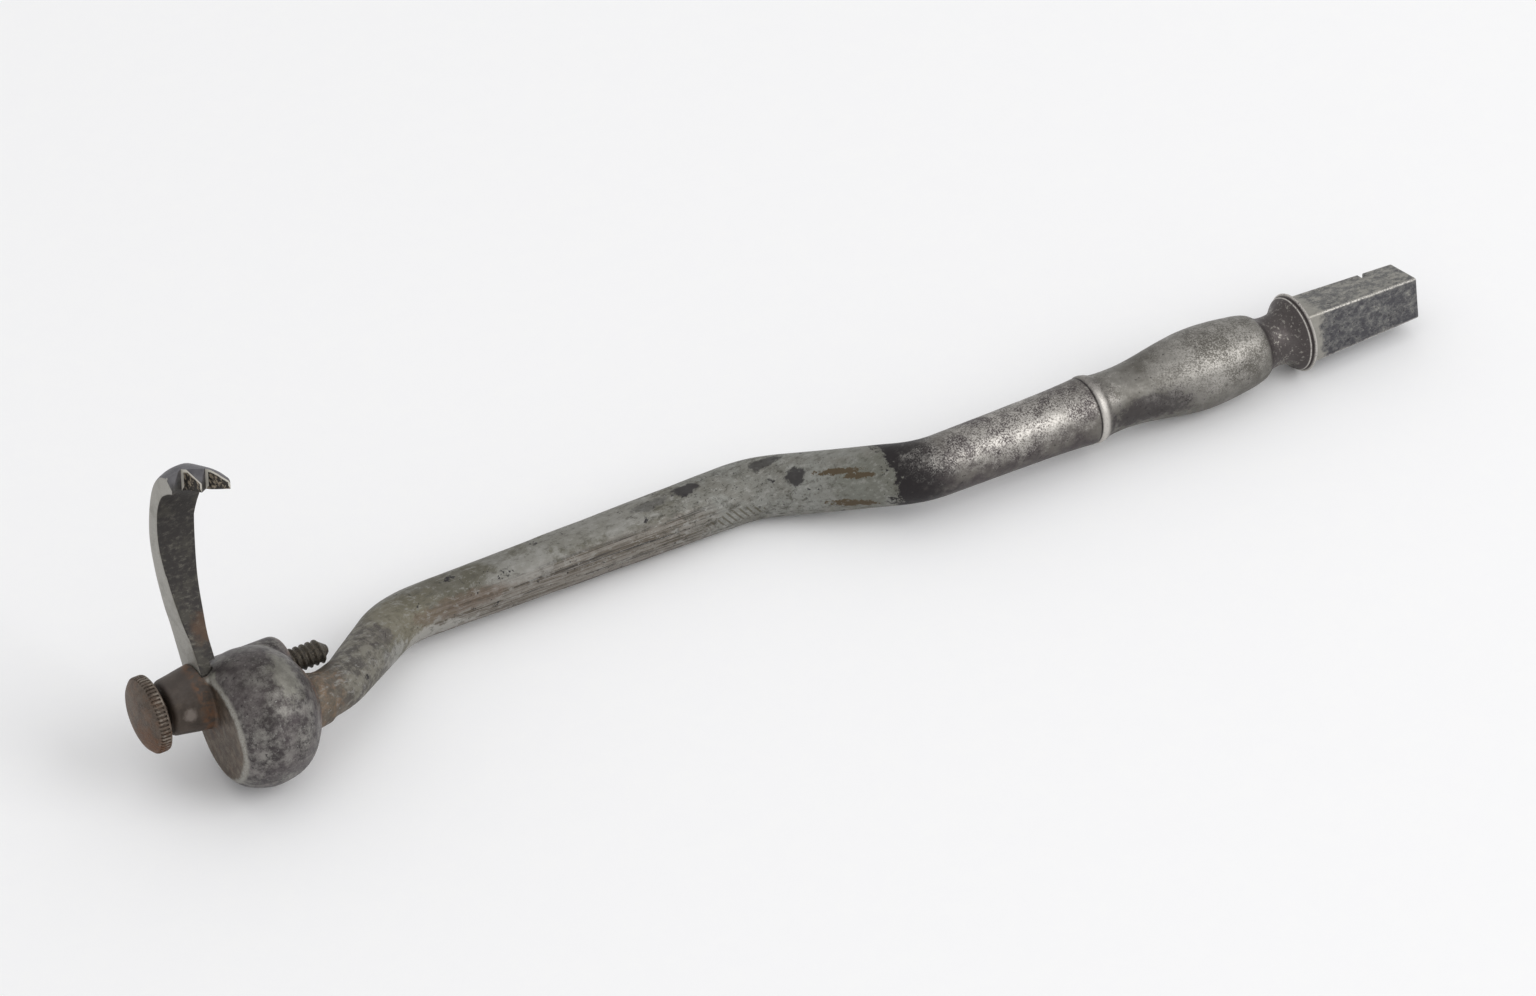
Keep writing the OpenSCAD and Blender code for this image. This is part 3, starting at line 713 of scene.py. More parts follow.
def bolster_material(s, f):
    """Mottled plum and grey drum, brown face with a light rim, brown lug and a rusty seam."""
    t = Steel("bolster_steel")
    x = t.x
    face_x = -1000 * s.reach
    back = face_x + 1000 * s.drum_length
    mottle = t.grains(0.75, 10.0, 0.78, 0.4, 0.66)
    base = t.mix(mottle, f.drum_dark, f.drum_pale)
    base = t.dab(base, f.smoke_haze, 0.35, (-126.5, -1.0, 7.5), (4.5, 6.5, 3.4), 2.0, 0.5)
    violet = t.grains(0.3, 5.0, 0.6, 0.42, 0.62, t.shift(t.at, (4.0, 9.0, 2.0)))
    base = t.coat(base, f.violet_haze, violet, 0.36)
    base = t.coat(base, f.pale, t.grains(2.2, 5.0, 0.7, 0.6, 0.68), 0.6)
    base = t.coat(base, f.black, t.pits, 0.8)
    base = t.dab(base, f.drum_olive, 0.9, (-128.8, 1.9, 4.9), (1.1, 1.5, 1.2), 2.4, 0.35)
    base = t.dab(base, f.drum_olive, 0.45, (-122.6, -2.1, 6.4), (1.3, 3.0, 2.0), 2.4, 0.35)
    # Face with rust around the lug, and its worn rim
    dirt = t.minus(1.0, t.speckle)
    face = t.mix(t.grains(0.8, 7.0, 0.72, 0.38, 0.62), f.face_dark, f.face_pale)
    face = t.coat(face, f.umber, dirt, 0.5)
    skirt = t.around(t.y, t.z, (1000 * s.pivot_y, 1000 * s.pivot_z))
    skirt = t.step(t.torn(skirt, 3.0), 5.2, 3.6)
    face = t.coat(face, t.mix(t.patch, f.umber, f.lug_rust), skirt, 0.8)
    base = t.mix(t.step(x, face_x + 0.4, face_x + 0.15), base, face)
    radius = t.around(t.y, t.z, (1000 * s.drum_y, 1000 * s.drum_z))
    rim = t.times(t.band(t.torn(radius, 0.5), 5.1, 5.65, 0.2), t.step(x, face_x + 1.0, face_x + 0.4))
    base = t.coat(base, f.face_rim, rim, t.step(t.speckle, -0.3, 0.5))
    # Front lug, and the seam at the neck
    brown = t.mix(t.times(t.cloud, 0.7), f.lug_dark, f.tan)
    brown = t.coat(brown, f.umber, dirt, 0.6)
    brown = t.dab(brown, f.lug_worn, 0.7, (face_x - 2.6, 1.1, 2.9), (0.6, 0.6, 0.7), 1.6, 0.4)
    brown = t.dab(brown, f.lug_grey, 0.45, (-132.0, 4.5, 5.6), (3.0, 3.2, 2.0), 2.4, 0.5)
    junction = t.times(t.band(x, face_x - 1.5, face_x - 0.1, 0.4), t.patch)
    brown = t.coat(brown, f.rust, junction, 0.6)
    lug = t.along(0.8, face_x + 0.2, face_x - 0.3)
    base = t.mix(lug, base, brown)
    base = t.coat(base, f.rust, t.times(t.step(x, back - 1.6, back - 0.3), t.patch), 0.8)
    rough = t.blend(lug, t.blend(mottle, 0.44, 0.5), 0.58)
    return t.close(base, rough, t.blend(lug, 0.75, 0.4), t.height, 0.06)


def claw_material(f):
    """Light filed sides, dark granular faces, blue hook and pitted prongs with light rims."""
    t = Steel("claw_steel")
    side, prong, rim = (t.painted(name) for name in ("side", "prong", "rim"))
    grain = t.noise(t.stretch(t.at, (0.8, 1.3, 1.3)), 1.7, 7.0, 0.76)
    dark = t.mix(t.step(grain, 0.48, 0.7), f.soot, f.claw_grain)
    dark = t.coat(dark, f.olive, t.step(t.cloud, 0.6, 1.0), 0.25)
    dark = t.dab(dark, f.claw_rust, 0.6, (-127.4, 5.6, 9.0), (1.2, 1.8, 1.5), 2.6, 0.6)
    hook = t.step(t.torn(t.plus(t.z, t.times(t.y, 0.55)), 2.0), 30.9, 32.2)
    dark = t.coat(dark, t.mix(t.cloud, f.hook_dark, f.hook_pale), hook, 0.9)
    light = t.coat(f.filed, f.olive, t.minus(1.0, t.speckle), 0.4)
    light = t.coat(light, f.olive, t.step(t.cloud, 0.55, 1.0), 0.4)
    base = t.mix(side, dark, light)
    pits = t.grains(2.2, 3.0, 0.6, 0.47, 0.6)
    base = t.mix(prong, base, t.mix(pits, f.pit_dark, f.pit_pale))
    base = t.mix(rim, base, t.mix(t.step(t.ragged, -0.3, -0.1), f.tan, f.prong_rim))
    metal = t.blend(rim, t.blend(side, 0.6, 0.45), 0.2)
    height = t.plus(t.times(grain, 0.7), t.times(pits, prong))
    return t.close(base, t.blend(side, 0.5, 0.42), metal, height, 0.08)


def screw_material(s, f):
    """Brown head with a rusty side and worn teeth, and a darker thread."""
    t = Steel("screw_steel")
    base = t.mix(t.cloud, f.umber, f.tan)
    base = t.coat(base, f.rust, t.patch, 0.3)
    base = t.coat(base, f.head_brown, t.speckle, 0.5)
    rusty = t.mix(t.speckle, f.head_dark, f.head_rust)
    base = t.dab(base, rusty, 0.9, (-135.6, 1.6, -0.3), (2.6, 2.6, 2.4), 2.4, 0.4)
    out = t.around(t.y, t.z, (1000 * s.pivot_y, 1000 * s.pivot_z))
    crest = t.times(t.step(out, 3.9, 3.98), t.step(t.ragged, -0.05, 0.08))
    base = t.coat(base, f.tooth_wear, crest, 0.6)
    base = t.coat(base, f.soot, t.pits, 0.6)
    thread = t.step(t.x, -1000 * s.reach + 2.0, -1000 * s.reach + 6.0)
    base = t.mix(thread, base, t.mix(t.speckle, f.soot, f.thread_brown))
    height = t.plus(t.pit, t.times(t.height, 0.5))
    return t.close(base, t.blend(thread, 0.58, 0.45), t.blend(thread, 0.4, 0.7), height, 0.05)


# Pieces


def pivot(s):
    """Where the screw's axis crosses the YZ plane."""
    return s.pivot_y, s.pivot_z


def lug_places(s):
    """Where the front lug starts, the slot starts and the far lug ends along X."""
    slot_x = -s.reach - s.slot_place
    return slot_x - s.lug_length, slot_x, -s.reach + s.drum_length - s.boss_short


def ring_matrix(s, x, offset, heading, radius):
    """Where a ring of the bar sits: its place in the crank's plane, heading and radius."""
    roll = s.crank_roll
    aside = Vector((0.0, math.cos(roll), math.sin(roll)))
    normal = Vector((0.0, -math.sin(roll), math.cos(roll)))
    ahead = Vector((math.cos(heading), 0.0, 0.0)) + aside * math.sin(heading)
    third = ahead.cross(normal)
    centre = Vector((x, 0.0, 0.0)) + aside * offset
    columns = Matrix((normal * radius, third * radius, ahead * radius)).transposed().to_4x4()
    return Matrix.Translation(centre) @ columns


def walk(path, run, turn, radius, steps):
    """Adds rings along a straight run or an arc of the crank's plane."""
    x, w, a, r = path[-1]
    for i in range(1, steps + 1):
        part = i / steps
        if turn:
            bend = run / turn
            b = a + turn * part
            px = x + bend * (math.sin(b) - math.sin(a))
            pw = w + bend * (math.cos(a) - math.cos(b))
        else:
            b = a
            px = x + run * part * math.cos(a)
            pw = w + run * part * math.sin(a)
        path.append((px, pw, b, r + (radius - r) * part))


def bar_path(s):
    """Rings of the cranked bar from inside the bolster to the start of the grip."""
    bend = s.bend_radius
    start_x = -s.reach + s.drum_length + s.neck_start
    inside = mm(2.5)
    first = (start_x - inside * math.cos(s.root_angle), -inside * math.sin(s.root_angle), s.root_angle)
    path = [(*first, s.neck_radius + mm(0.3))]
    walk(path, inside, 0, s.neck_radius + mm(0.3), 4)
    walk(path, mm(0.5), 0, s.neck_radius + mm(0.1), 3)
    walk(path, mm(0.7), 0, s.neck_radius, 2)
    walk(path, bend * (s.rise_angle - s.root_angle), s.rise_angle - s.root_angle, s.neck_radius, 12)
    drop = bend * (1 - math.cos(s.rise_angle))
    rise = (s.crank_offset - drop - path[-1][1]) / math.sin(s.rise_angle)
    walk(path, rise, 0, s.bar_radius_head, 10)
    walk(path, bend * s.rise_angle, -s.rise_angle, s.bar_radius_head, 18)
    fall_drop = bend * (1 - math.cos(s.fall_angle))
    fall = (s.crank_offset - 2 * fall_drop) / math.sin(s.fall_angle)
    top_end = s.grip_start - 2 * bend * math.sin(s.fall_angle) - fall * math.cos(s.fall_angle)
    walk(path, top_end - path[-1][0], 0, s.bar_radius_mid, 48)
    walk(path, bend * s.fall_angle, -s.fall_angle, s.bar_radius_mid, 14)
    walk(path, fall, 0, s.bar_radius_mid, 12)
    walk(path, bend * s.fall_angle, s.fall_angle, s.bar_radius_mid, 14)
    return path


def grip_profile():
    """Distance along the axis and radius of the turned grip, in millimetres."""
    plain = smooth_curve([(-43.9, 3.26), (-38, 3.32), (-33, 3.39), (-29.5, 3.5), (-27.6, 3.6)], 6)
    groove = [(-27.3, 3.63), (-27.14, 3.62), (-27.06, 3.56), (-26.98, 3.53), (-26.9, 3.56)]
    bead = smooth_curve([(-26.84, 3.62), (-26.7, 3.72), (-26.4, 3.73), (-26.0, 3.65), (-25.7, 3.54)], 4)
    bulge = smooth_curve([(-25.45, 3.41), (-24.5, 3.32), (-23, 3.29), (-21.5, 3.35), (-20, 3.5),
                          (-18, 3.82), (-16, 4.15), (-14, 4.4), (-12.5, 4.47), (-11, 4.42), (-9, 4.25),
                          (-7, 4.0), (-5.9, 3.76)], 4)
    waist = smooth_curve([(-5.5, 3.6), (-5.15, 3.38), (-4.8, 3.12), (-4.3, 2.9), (-3.7, 2.8), (-3.0, 2.78),
                          (-2.4, 2.84), (-1.9, 3.02), (-1.45, 3.34), (-1.05, 3.72), (-0.8, 3.94)], 4)
    collar = [(-0.7, 4.04), (-0.62, 4.08), (-0.54, 4.04), (-0.48, 3.98), (-0.38, 4.0), (-0.32, 4.15),
              (-0.25, 4.3), (-0.15, 4.38), (-0.05, 4.34), (0.0, 4.22), (0.0, 2.0)]
    return plain + groove + bead + bulge + waist + collar


def tang_object(s):
    """Square tapered tang with worn corners and a catch notch."""
    bm = bmesh.new()
    bmesh.ops.create_cube(bm, size=1.0)
    for v in bm.verts:
        half = s.tang_root / 2 if v.co.x < 0 else s.tang_end / 2
        x = -s.tang_seat if v.co.x < 0 else s.tang_length
        v.co = Vector((x, math.copysign(half, v.co.y), math.copysign(half, v.co.z)))
    ends = [e for e in bm.edges if all(v.co.x > 0 for v in e.verts)]
    sides = [e for e in bm.edges if abs(e.verts[0].co.x - e.verts[1].co.x) > mm(1)]
    bmesh.ops.bevel(
        bm, geom=sides + ends, offset=s.tang_corner, segments=4, profile=0.5, affect="EDGES", material=-1,
    )
    roll = Matrix.Rotation(s.tang_roll, 4, "X")
    bmesh.ops.transform(bm, matrix=roll, verts=bm.verts[:])
    tang = new_object("tang", bm)
    notch = bmesh.new()
    corner = Matrix.Translation((s.notch_place, s.tang_root / 2, s.tang_root / 2))
    slant = Matrix.Rotation(math.radians(-45), 4, "X")
    size = Matrix.Diagonal((s.notch_width, mm(8), s.notch_depth, 1))
    bmesh.ops.create_cube(notch, size=1.0, matrix=roll @ corner @ slant @ size)
    cut(tang, new_object("notch", notch))
    return tang


class KEY_OT_shaft(bpy.types.Operator):
    """Sweeps the cranked bar and the turned grip as one ring and adds the tang"""

    bl_idname = "dental_key.shaft"
    bl_label = "Build shaft"

    def execute(self, context):
        s, f = context.scene.key_sizes, context.scene.key_finish
        path = bar_path(s) + [(mm(x), 0.0, 0.0, mm(r)) for x, r in grip_profile()]
        matrices = [ring_matrix(s, *p) for p in path]
        bm = bmesh.new()
        bmesh.ops.create_circle(bm, cap_ends=True, segments=80, radius=1.0, matrix=matrices[0])
        last = sweep(bm, bm.edges[:], matrices)
        bmesh.ops.contextual_create(bm, geom=last)
        roughen(bm, s.ripple, mm(4.5))
        tang = tang_object(s)
        bm.from_mesh(tang.data)
        discard(tang)
        obj = new_object("key_shaft", bm)
        finish_piece(obj, "shaft", "key", shaft_material(s, f))
        return {"FINISHED"}


class KEY_OT_bolster(bpy.types.Operator):
    """Turns the drum and both lugs, melts them together and cuts the slot and the bore"""

    bl_idname = "dental_key.bolster"
    bl_label = "Build bolster"

    def execute(self, context):
        s, f = context.scene.key_sizes, context.scene.key_finish
        front, slot_x, end = lug_places(s)
        bm = bmesh.new()
        turned(bm, self.drum(s), (s.drum_y, s.drum_z), 120)
        turned(bm, self.front_lug(s, front, slot_x), pivot(s), 96)
        turned(bm, self.far_lug(s, slot_x, end), pivot(s), 96)
        obj = new_object("key_bolster", bm)
        self.melt(obj, s)
        self.cut_slot(obj, s, slot_x)
        cut(obj, rod("bore", pivot(s), s.screw_radius + s.clearance, front - mm(1), end + mm(1)))
        finish_piece(obj, "bolster", "key", bolster_material(s, f), 50)
        return {"FINISHED"}

    def drum(self, s):
        """Profile of the drum: flat face, rounded barrel, narrower back."""
        face_x = -s.reach
        # Distance behind the face and how far inside the largest radius, in millimetres
        inside = [(1.8, 0.45), (3.4, 0.0), (5.0, 0.05), (6.5, 0.42), (7.8, 1.2), (8.8, 2.3),
                  (9.65, 3.6), (10.2, 4.9)]
        barrel = [(0.1, s.face_radius), (0.7, s.face_radius + mm(0.75))]
        barrel += [(x, s.drum_radius - mm(less)) for x, less in inside]
        profile = [(face_x, 0.0), (face_x, s.face_radius - mm(0.1))]
        profile += [(face_x + mm(x), r) for x, r in smooth_curve(barrel, 5)]
        return profile + [(face_x + s.drum_length, 0.0)]

    def front_lug(self, s, front, slot_x):
        """Profile of the lug before the slot, narrower and chamfered towards the screw's head."""
        edge, inside = s.lug_chamfer, slot_x + mm(1.6)
        return [(front, 0.0), (front, s.lug_front - edge), (front + edge, s.lug_front),
                (slot_x, s.lug_back), (inside, s.lug_back), (inside, 0.0)]

    def far_lug(self, s, slot_x, end):
        """Profile of the lug behind the slot, rounded at its end."""
        profile = [(slot_x, 0.0), (slot_x, s.boss_radius)]
        for i in range(10):
            turn = math.radians(10 * i)
            x = end - s.boss_round * (1 - math.sin(turn))
            profile.append((x, s.boss_radius - s.boss_round * (1 - math.cos(turn))))
        return profile + [(end, 0.0)]

    def melt(self, obj, s):
        """Joins drum and lugs in one skin, softens it and roughens it."""
        tool = obj.modifiers.new("melt", "REMESH")
        tool.mode = "VOXEL"
        tool.voxel_size = mm(0.13)
        bake_modifiers(obj)
        bm = bmesh.new()
        bm.from_mesh(obj.data)
        for _ in range(5):
            bmesh.ops.smooth_vert(
                bm, verts=bm.verts[:], factor=0.5, use_axis_x=True, use_axis_y=True, use_axis_z=True,
            )
        roughen(bm, s.ripple, mm(3.5))
        bm.to_mesh(obj.data)
        bm.free()

    def cut_slot(self, obj, s, slot_x):
        """Clears the room that the claw's tab sweeps between its limits."""
        low, high, quarter = s.slot_low, s.slot_high, math.pi / 2
        half, far = s.slot_half, mm(16)
        first, last = high + quarter, low + 3 * quarter
        outline = [far * ray(low) + half * ray(low - quarter), 1.4 * far * ray((low + high) / 2),
                   far * ray(high) + half * ray(high + quarter)]
        outline += [half * ray(first + (last - first) * i / 24) for i in range(25)]
        centre = Vector((slot_x, *pivot(s)))
        cut(obj, prism("slot", [centre + point for point in outline], (s.slot_width, 0, 0)))


class KEY_OT_claw(bpy.types.Operator):
    """Sweeps the claw from its eye to the hook and files the fork"""

    bl_idname = "dental_key.claw"
    bl_label = "Build claw"

    def execute(self, context):
        s, f = context.scene.key_sizes, context.scene.key_finish
        side_gap = (s.slot_width - s.tab_width) / 2
        centre_x = lug_places(s)[1] + side_gap + s.root_width / 2
        obj = self.blade(s, centre_x)
        self.trim_foot(obj, s, centre_x)
        cut(obj, rod("eye", pivot(s), s.screw_radius + s.clearance, centre_x - mm(4), centre_x + mm(4)))
        self.file_end(obj, s, centre_x)
        self.paint(obj, s, centre_x)
        finish_piece(obj, "claw", "claw", claw_material(f), 35)
        return {"FINISHED"}

    def blade(self, s, centre_x):
        """Draws a rounded oblong from the eye to the tip."""
        root, half = 500 * s.root_width, 500 * s.blade_width
        # Outer and inner edge in Y and Z, then half the width, in millimetres
        stations = smooth_curve(
            [(4.85, -0.99, 0.85, 1.31, root), (5.99, 1.0, 2.01, 3.3, root), (7.4, 3.3, 3.1, 5.1, root),
             (8.7, 5.4, 4.35, 6.95, root), (9.8, 7.4, 5.4, 8.4, root + 0.05),
             (10.65, 9.5, 6.45, 10.0, root + 0.25), (11.4, 13.4, 8.2, 13.6, 0.78 * half),
             (11.4, 17.8, 9.2, 18.0, 0.96 * half), (10.75, 22.4, 9.1, 22.1, half),
             (9.5, 26.0, 8.15, 24.9, half), (7.6, 28.12, 6.7, 26.6, half), (5.2, 29.1, 4.9, 27.9, half),
             (2.8, 29.9, 2.9, 28.9, half), (0.3, 31.15, 0.5, 30.35, half)], 8)
        matrices = []
        for oy, oz, iy, iz, wide in stations:
            outer, inner = Vector((0, mm(oy), mm(oz))), Vector((0, mm(iy), mm(iz)))
            across = (outer - inner) / 2
            ahead = Vector((1, 0, 0)).cross(across).normalized() * mm(1)
            flare = 0.5 * s.hook_flare * min(1.0, max(0.0, (oz + iz) / 6.0 - 6.9))
            centre = (outer + inner) / 2 + Vector((centre_x + flare, 0, 0))
            columns = Matrix((Vector((mm(wide) + flare, 0, 0)), across, ahead)).transposed().to_4x4()
            matrices.append(Matrix.Translation(centre) @ columns)
        bm = bmesh.new()
        bmesh.ops.create_grid(bm, x_segments=12, y_segments=4, size=1.0)
        corners = [v for v in bm.verts if abs(v.co.x) > 0.9999 and abs(v.co.y) > 0.9999]
        bmesh.ops.bevel(
            bm, geom=corners, offset=0.1, segments=4, profile=0.5, affect="VERTICES", material=-1,
        )
        bmesh.ops.transform(bm, matrix=matrices[0], verts=bm.verts[:])
        last = sweep(bm, [e for e in bm.edges if e.is_boundary], matrices)
        bmesh.ops.contextual_create(bm, geom=last)
        bmesh.ops.remove_doubles(bm, verts=bm.verts[:], dist=MERGE)
        bmesh.ops.recalc_face_normals(bm, faces=bm.faces[:])
        self.crown(bm, s, centre_x)
        bmesh.ops.triangulate(bm, faces=[face for face in bm.faces if len(face.verts) > 4])
        obj = new_object("key_claw", bm)
        # Thin the tab where it enters the slot
        right = centre_x - s.root_width / 2 + s.tab_width
        corners = ((-6, -6), (16, -6), (16, 6.3), (-6, 6.3))
        cut(obj, prism("shoulder", [(right, mm(y), mm(z)) for y, z in corners], (mm(4), 0, 0)))
        return obj

    def crown(self, bm, s, centre_x):
        """Rounds the back of the hook from side to side, and more towards the edge of the long prong."""
        # Place in Y and height of the ridge, in millimetres
        rises = smooth_curve([(10.2, 0.0), (9.2, 0.45), (8.3, 0.82), (6.55, 1.0), (4.2, 1.45), (2.8, 1.5),
                              (1.6, 1.0), (0.5, 0.35)], 6)
        middle = centre_x + s.hook_flare / 2
        half = (s.blade_width + s.hook_flare) / 2
        slope = Vector((0.516, 0.438, 0.736))
        start = Vector((middle + half, mm(7.2), mm(28.0)))
        soft = mm(0.45)
        bm.normal_update()
        back = [v for v in bm.verts if v.co.z > mm(24) and v.normal.y * 0.48 + v.normal.z * 0.87 > 0.2]
        for v in back:
            for (y0, low), (y1, high) in zip(rises, rises[1:]):
                if y0 >= 1000 * v.co.y > y1:
                    rise = low + (high - low) * (y0 - 1000 * v.co.y) / (y0 - y1)
                    v.co.z += mm(rise) * max(0.0, 1 - (abs(v.co.x - middle) / half) ** 3)
                    break
            above = (v.co - start).dot(slope) / slope.z
            v.co.z -= above if above > soft else max(0.0, above + soft) ** 2 / (4 * soft)

    def trim_foot(self, obj, s, centre_x):
        """Cuts the tab's foot round about the pivot, so it clears the slot as it swings."""
        centre, lean = Vector((centre_x - mm(4), *pivot(s))), s.foot_lean
        turns = [lean + math.radians(90 + 180 * i / 24) for i in range(25)]
        outline = [centre + s.foot_radius * ray(turn) for turn in turns]
        for turn in (-90, -135, 180, 135, 90):
            outline.append(centre + mm(6) * ray(lean + math.radians(turn)))
        cut(obj, prism("trim", outline, (mm(8), 0, 0)))

    def file_end(self, obj, s, centre_x):
        """Files the stepped end with its three prongs and the slanted bevel behind them."""
        half, tip = s.blade_width / 2, s.tip_side
        aside, beyond = half + s.hook_flare + mm(1), tip - mm(3)
        middle, short = tip + s.prong_step, tip + 2 * s.prong_step
        steps = [(aside, tip + mm(6)), (0.93 * half, tip), (0.37 * half, middle + s.notch_back),
                 (0.0, middle), (-0.34 * half, short + s.notch_back), (-0.93 * half, short),
                 (-aside, short + mm(0.3)), (-aside, beyond), (aside, beyond)]
        outline = [(x + centre_x, y, mm(20)) for x, y in steps]
        cut(obj, prism("steps", outline, (0, 0, mm(20))))
        turn = Matrix.Rotation(s.bevel_roll, 4, "Y") @ Matrix.Rotation(s.bevel_pitch, 4, "X")
        block = Matrix.Translation((centre_x, middle, s.bevel_height)) @ turn
        bm = bmesh.new()
        bmesh.ops.create_cube(bm, size=mm(40), matrix=block @ Matrix.Translation((0, 0, mm(20))))
        cut(obj, new_object("bevel", bm))

    def paint(self, obj, s, centre_x):
        """Insets the prongs' flanks and marks the filed sides, pitted flanks and light rims."""
        bm = bmesh.new()
        bm.from_mesh(obj.data)
        side, prong, rim = (bm.faces.layers.float.new(name) for name in ("side", "prong", "rim"))
        hollow = Vector((0.0, -0.46, -0.89))
        walls = []
        for face in bm.faces:
            at, normal = face.calc_center_median(), face.normal
            flat = abs(normal.x) > 0.8
            inside = abs(at.x - centre_x) < mm(1.8)
            if normal.x < -0.8 and abs(normal.z) < 0.2 and inside and mm(26) < at.z and at.y < mm(7):
                walls.append(face)
            face[side] = float(flat and (not inside or at.z < mm(20)))
        for face in walls:
            made = bmesh.ops.inset_region(
                bm, faces=[face], thickness=s.flank_rim, depth=-s.flank_depth, use_even_offset=True,
            )
            core = set(face.verts)
            for ring in made["faces"]:
                out = sum((-v.co if v in core else v.co for v in ring.verts), Vector())
                lower = out.normalized().dot(hollow) > 0.6
                ring[rim], ring[prong] = float(not lower), float(lower)
            face[prong] = 1.0
        bm.to_mesh(obj.data)
        bm.free()


class KEY_OT_screw(bpy.types.Operator):
    """Turns the milled screw and winds its thread"""

    bl_idname = "dental_key.screw"
    bl_label = "Build pivot screw"

    def execute(self, context):
        s, f = context.scene.key_sizes, context.scene.key_finish
        front, _, end = lug_places(s)
        tip = end + s.tail_length
        back = front - s.head_gap
        rim = back - s.head_rim
        core, collar = s.screw_radius - s.thread_depth, s.screw_radius + s.collar_height
        shank = [(back, collar), (front - mm(0.25), collar), (front - mm(0.15), s.screw_radius),
                 (end - mm(3), s.screw_radius), (end - mm(2.8), core), (tip - mm(0.95), core),
                 (tip - mm(0.1), mm(0.45)), (tip, mm(0.25)), (tip, 0.0)]
        bm = bmesh.new()
        turned(bm, self.head(s, rim, back) + shank, pivot(s), 2 * s.head_teeth)
        self.mill(bm, s, rim, back)
        self.wind(bm, s, core, end - mm(2.4), tip - mm(0.9))
        obj = new_object("key_screw", bm)
        finish_piece(obj, "pivot_screw", "screw", screw_material(s, f), 35)
        return {"FINISHED"}

    def head(self, s, rim, back):
        """Profile of the head: a low dome and a rim with soft edges."""
        profile = [(rim - s.head_dome, 0.0)]
        for i in range(1, 8):
            turn = math.radians(11 * i)
            out = (s.head_radius - mm(0.3)) * math.sin(turn)
            profile.append((rim - s.head_dome * math.cos(turn), out))
        edges = [(rim, 0.02, 0.16), (rim, 0.15, 0.04), (rim, 0.3, 0.0),
                 (back, -0.25, 0.0), (back, -0.08, 0.06), (back, 0.0, 0.2)]
        return profile + [(x + mm(past), s.head_radius - mm(less)) for x, past, less in edges]

    def mill(self, bm, s, rim, back):
        """Presses a tooth gap into every second face of the head's rim."""
        band = []
        for face in bm.faces:
            at = face.calc_center_median()
            y, z = at.y - s.pivot_y, at.z - s.pivot_z
            if rim - mm(0.02) < at.x < back - mm(0.2) and math.hypot(y, z) > s.head_radius - mm(0.22):
                part = math.atan2(z, y) % (2 * math.pi) / (2 * math.pi)
                if int(part * 2 * s.head_teeth + 1e-4) % 2:
                    band.append(face)
        bmesh.ops.inset_region(bm, faces=band, thickness=mm(0.03), depth=0.0, use_even_offset=True)
        bmesh.ops.recalc_face_normals(bm, faces=bm.faces[:])
        for v in {v for face in band for v in face.verts}:
            out = Vector((0.0, v.co.y - s.pivot_y, v.co.z - s.pivot_z)).normalized()
            v.co -= out * s.tooth_depth

    def wind(self, bm, s, core, start, stop):
        """Winds a ridge around the core with one screw-wise spin."""
        pitch, steps, foot = s.thread_pitch, 36, core - mm(0.05)
        turns = (stop - start) / pitch
        shape = [(0.0, foot), (0.36, s.screw_radius), (0.5, s.screw_radius), (0.86, foot)]
        verts = [bm.verts.new((start + part * pitch, s.pivot_y + r, s.pivot_z)) for part, r in shape]
        edges = [bm.edges.new(pair) for pair in zip(verts, verts[1:] + verts[:1])]
        made = bmesh.ops.spin(
            bm, geom=verts + edges, cent=(0, *pivot(s)), axis=(1, 0, 0), dvec=(pitch / steps, 0, 0),
            angle=2 * math.pi * turns, steps=int(steps * turns), use_merge=False,
        )
        for end in (edges, only(made["geom_last"], bmesh.types.BMEdge)):
            bmesh.ops.contextual_create(bm, geom=end)


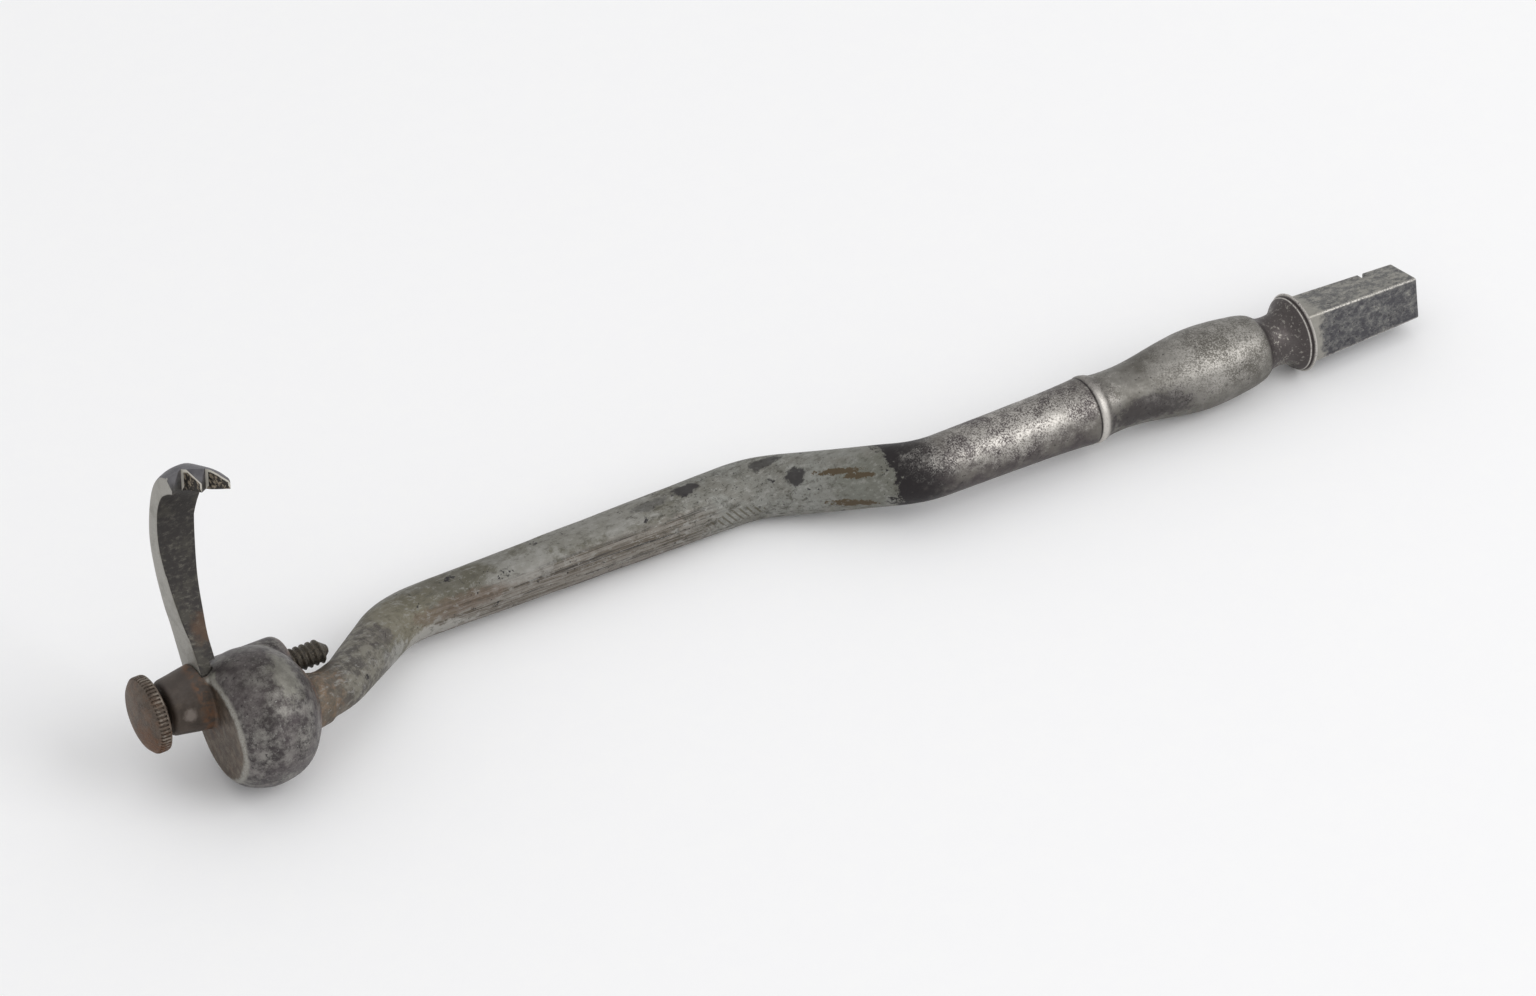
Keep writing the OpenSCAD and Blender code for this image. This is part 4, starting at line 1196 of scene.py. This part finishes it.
class KEY_OT_stage(bpy.types.Operator):
    """Sets the table, lights and camera"""

    bl_idname = "dental_key.stage"
    bl_label = "Build stage"

    def execute(self, context):
        st = context.scene.key_stage
        self.table(context, st)
        self.lights(context, st)
        self.camera(context, st)
        return {"FINISHED"}

    def table(self, context, st):
        """A wide white table, tilted as the key lies on its drum and collar."""
        bm = bmesh.new()
        under = Matrix.Translation((mm(-125), 0, -st.table_drop)) @ Matrix.Rotation(-st.table_tilt, 4, "Y")
        bmesh.ops.create_grid(bm, x_segments=8, y_segments=8, size=3.0, matrix=under)
        table = new_object("table", bm)
        material = new_material("white_table")
        t = Tree(material.node_tree)
        fleck = t.step(t.noise(t.millimetres(), 0.35, 6.0, 0.75), 0.35, 0.75)
        tone = st.table_tone
        base = t.mix(fleck, (tone * 0.99, tone * 0.99, tone), (tone, tone, tone * 1.004))
        t.surface({"Base Color": base, "Roughness": 0.85, "Specular IOR Level": 0.15})
        table.data.materials.append(material)

    def lights(self, context, st):
        """An even room, a wide weak light overhead and a stronger one at the front right."""
        world = bpy.data.worlds.new("room")
        world.use_nodes = True
        sky = world.node_tree.nodes["Background"]
        sky.inputs["Color"].default_value = (1.0, 1.0, 1.0, 1.0)
        t = Tree(world.node_tree)
        glossy = t.node("ShaderNodeLightPath").outputs["Is Glossy Ray"]
        t.feed(sky.inputs["Strength"], t.blend(glossy, st.sky, st.room))
        context.scene.world = world
        lamps = (
            ("overhead", (0.1, 0.15, 1.1), 1.2, st.key_power),
            ("front", (0.5, -0.62, 0.68), 0.85, st.side_power),
        )
        for name, spot, size, power in lamps:
            light = bpy.data.lights.new(name, "AREA")
            light.shape = "DISK"
            light.size = size
            light.energy = power
            lamp = bpy.data.objects.new(name, light)
            lamp.location = spot
            aim = Vector((mm(-60), 0.0, 0.0)) - lamp.location
            lamp.rotation_euler = aim.to_track_quat("-Z", "Y").to_euler()
            context.scene.collection.objects.link(lamp)

    def camera(self, context, st):
        """The photograph's view: level with the table, a long lens from the front left."""
        ahead = Vector(st.camera_aim).normalized()
        up = Vector((-math.sin(st.camera_level), 0.0, math.cos(st.camera_level)))
        right = ahead.cross(up).normalized()
        top = right.cross(ahead)
        data = bpy.data.cameras.new("camera")
        data.sensor_width = 36.0
        data.lens = st.lens
        data.clip_start = 0.01
        camera = bpy.data.objects.new("camera", data)
        turn = Matrix((right, top, -ahead)).transposed().to_4x4()
        camera.matrix_world = Matrix.Translation(Vector(st.camera_place)) @ turn
        context.scene.collection.objects.link(camera)
        context.scene.camera = camera
        context.scene.view_settings.view_transform = "Standard"


class KEY_PT_panel(bpy.types.Panel):
    """Sidebar panel with the sizes, finish, stage and build buttons"""

    bl_idname = "KEY_PT_panel"
    bl_label = "Dental key"
    bl_space_type = "VIEW_3D"
    bl_region_type = "UI"
    bl_category = "Dental key"

    def draw(self, context):
        layout = self.layout
        for name in ("key_sizes", "key_finish", "key_stage"):
            group = getattr(context.scene, name)
            box = layout.box()
            for label in group.__annotations__:
                box.prop(group, label)
        for step in ("shaft", "bolster", "claw", "screw", "stage"):
            layout.operator("dental_key." + step)


CLASSES = (
    KeySizes, KeyFinish, KeyStage,
    KEY_OT_shaft, KEY_OT_bolster, KEY_OT_claw, KEY_OT_screw, KEY_OT_stage, KEY_PT_panel,
)


def register():
    for cls in CLASSES:
        bpy.utils.register_class(cls)
    bpy.types.Scene.key_sizes = PointerProperty(type=KeySizes)
    bpy.types.Scene.key_finish = PointerProperty(type=KeyFinish)
    bpy.types.Scene.key_stage = PointerProperty(type=KeyStage)


def unregister():
    del bpy.types.Scene.key_stage
    del bpy.types.Scene.key_finish
    del bpy.types.Scene.key_sizes
    for cls in reversed(CLASSES):
        bpy.utils.unregister_class(cls)


def main():
    """Builds everything in order."""
    register()
    bpy.ops.dental_key.shaft()
    bpy.ops.dental_key.bolster()
    bpy.ops.dental_key.claw()
    bpy.ops.dental_key.screw()
    bpy.ops.dental_key.stage()


if __name__ == "__main__":
    main()
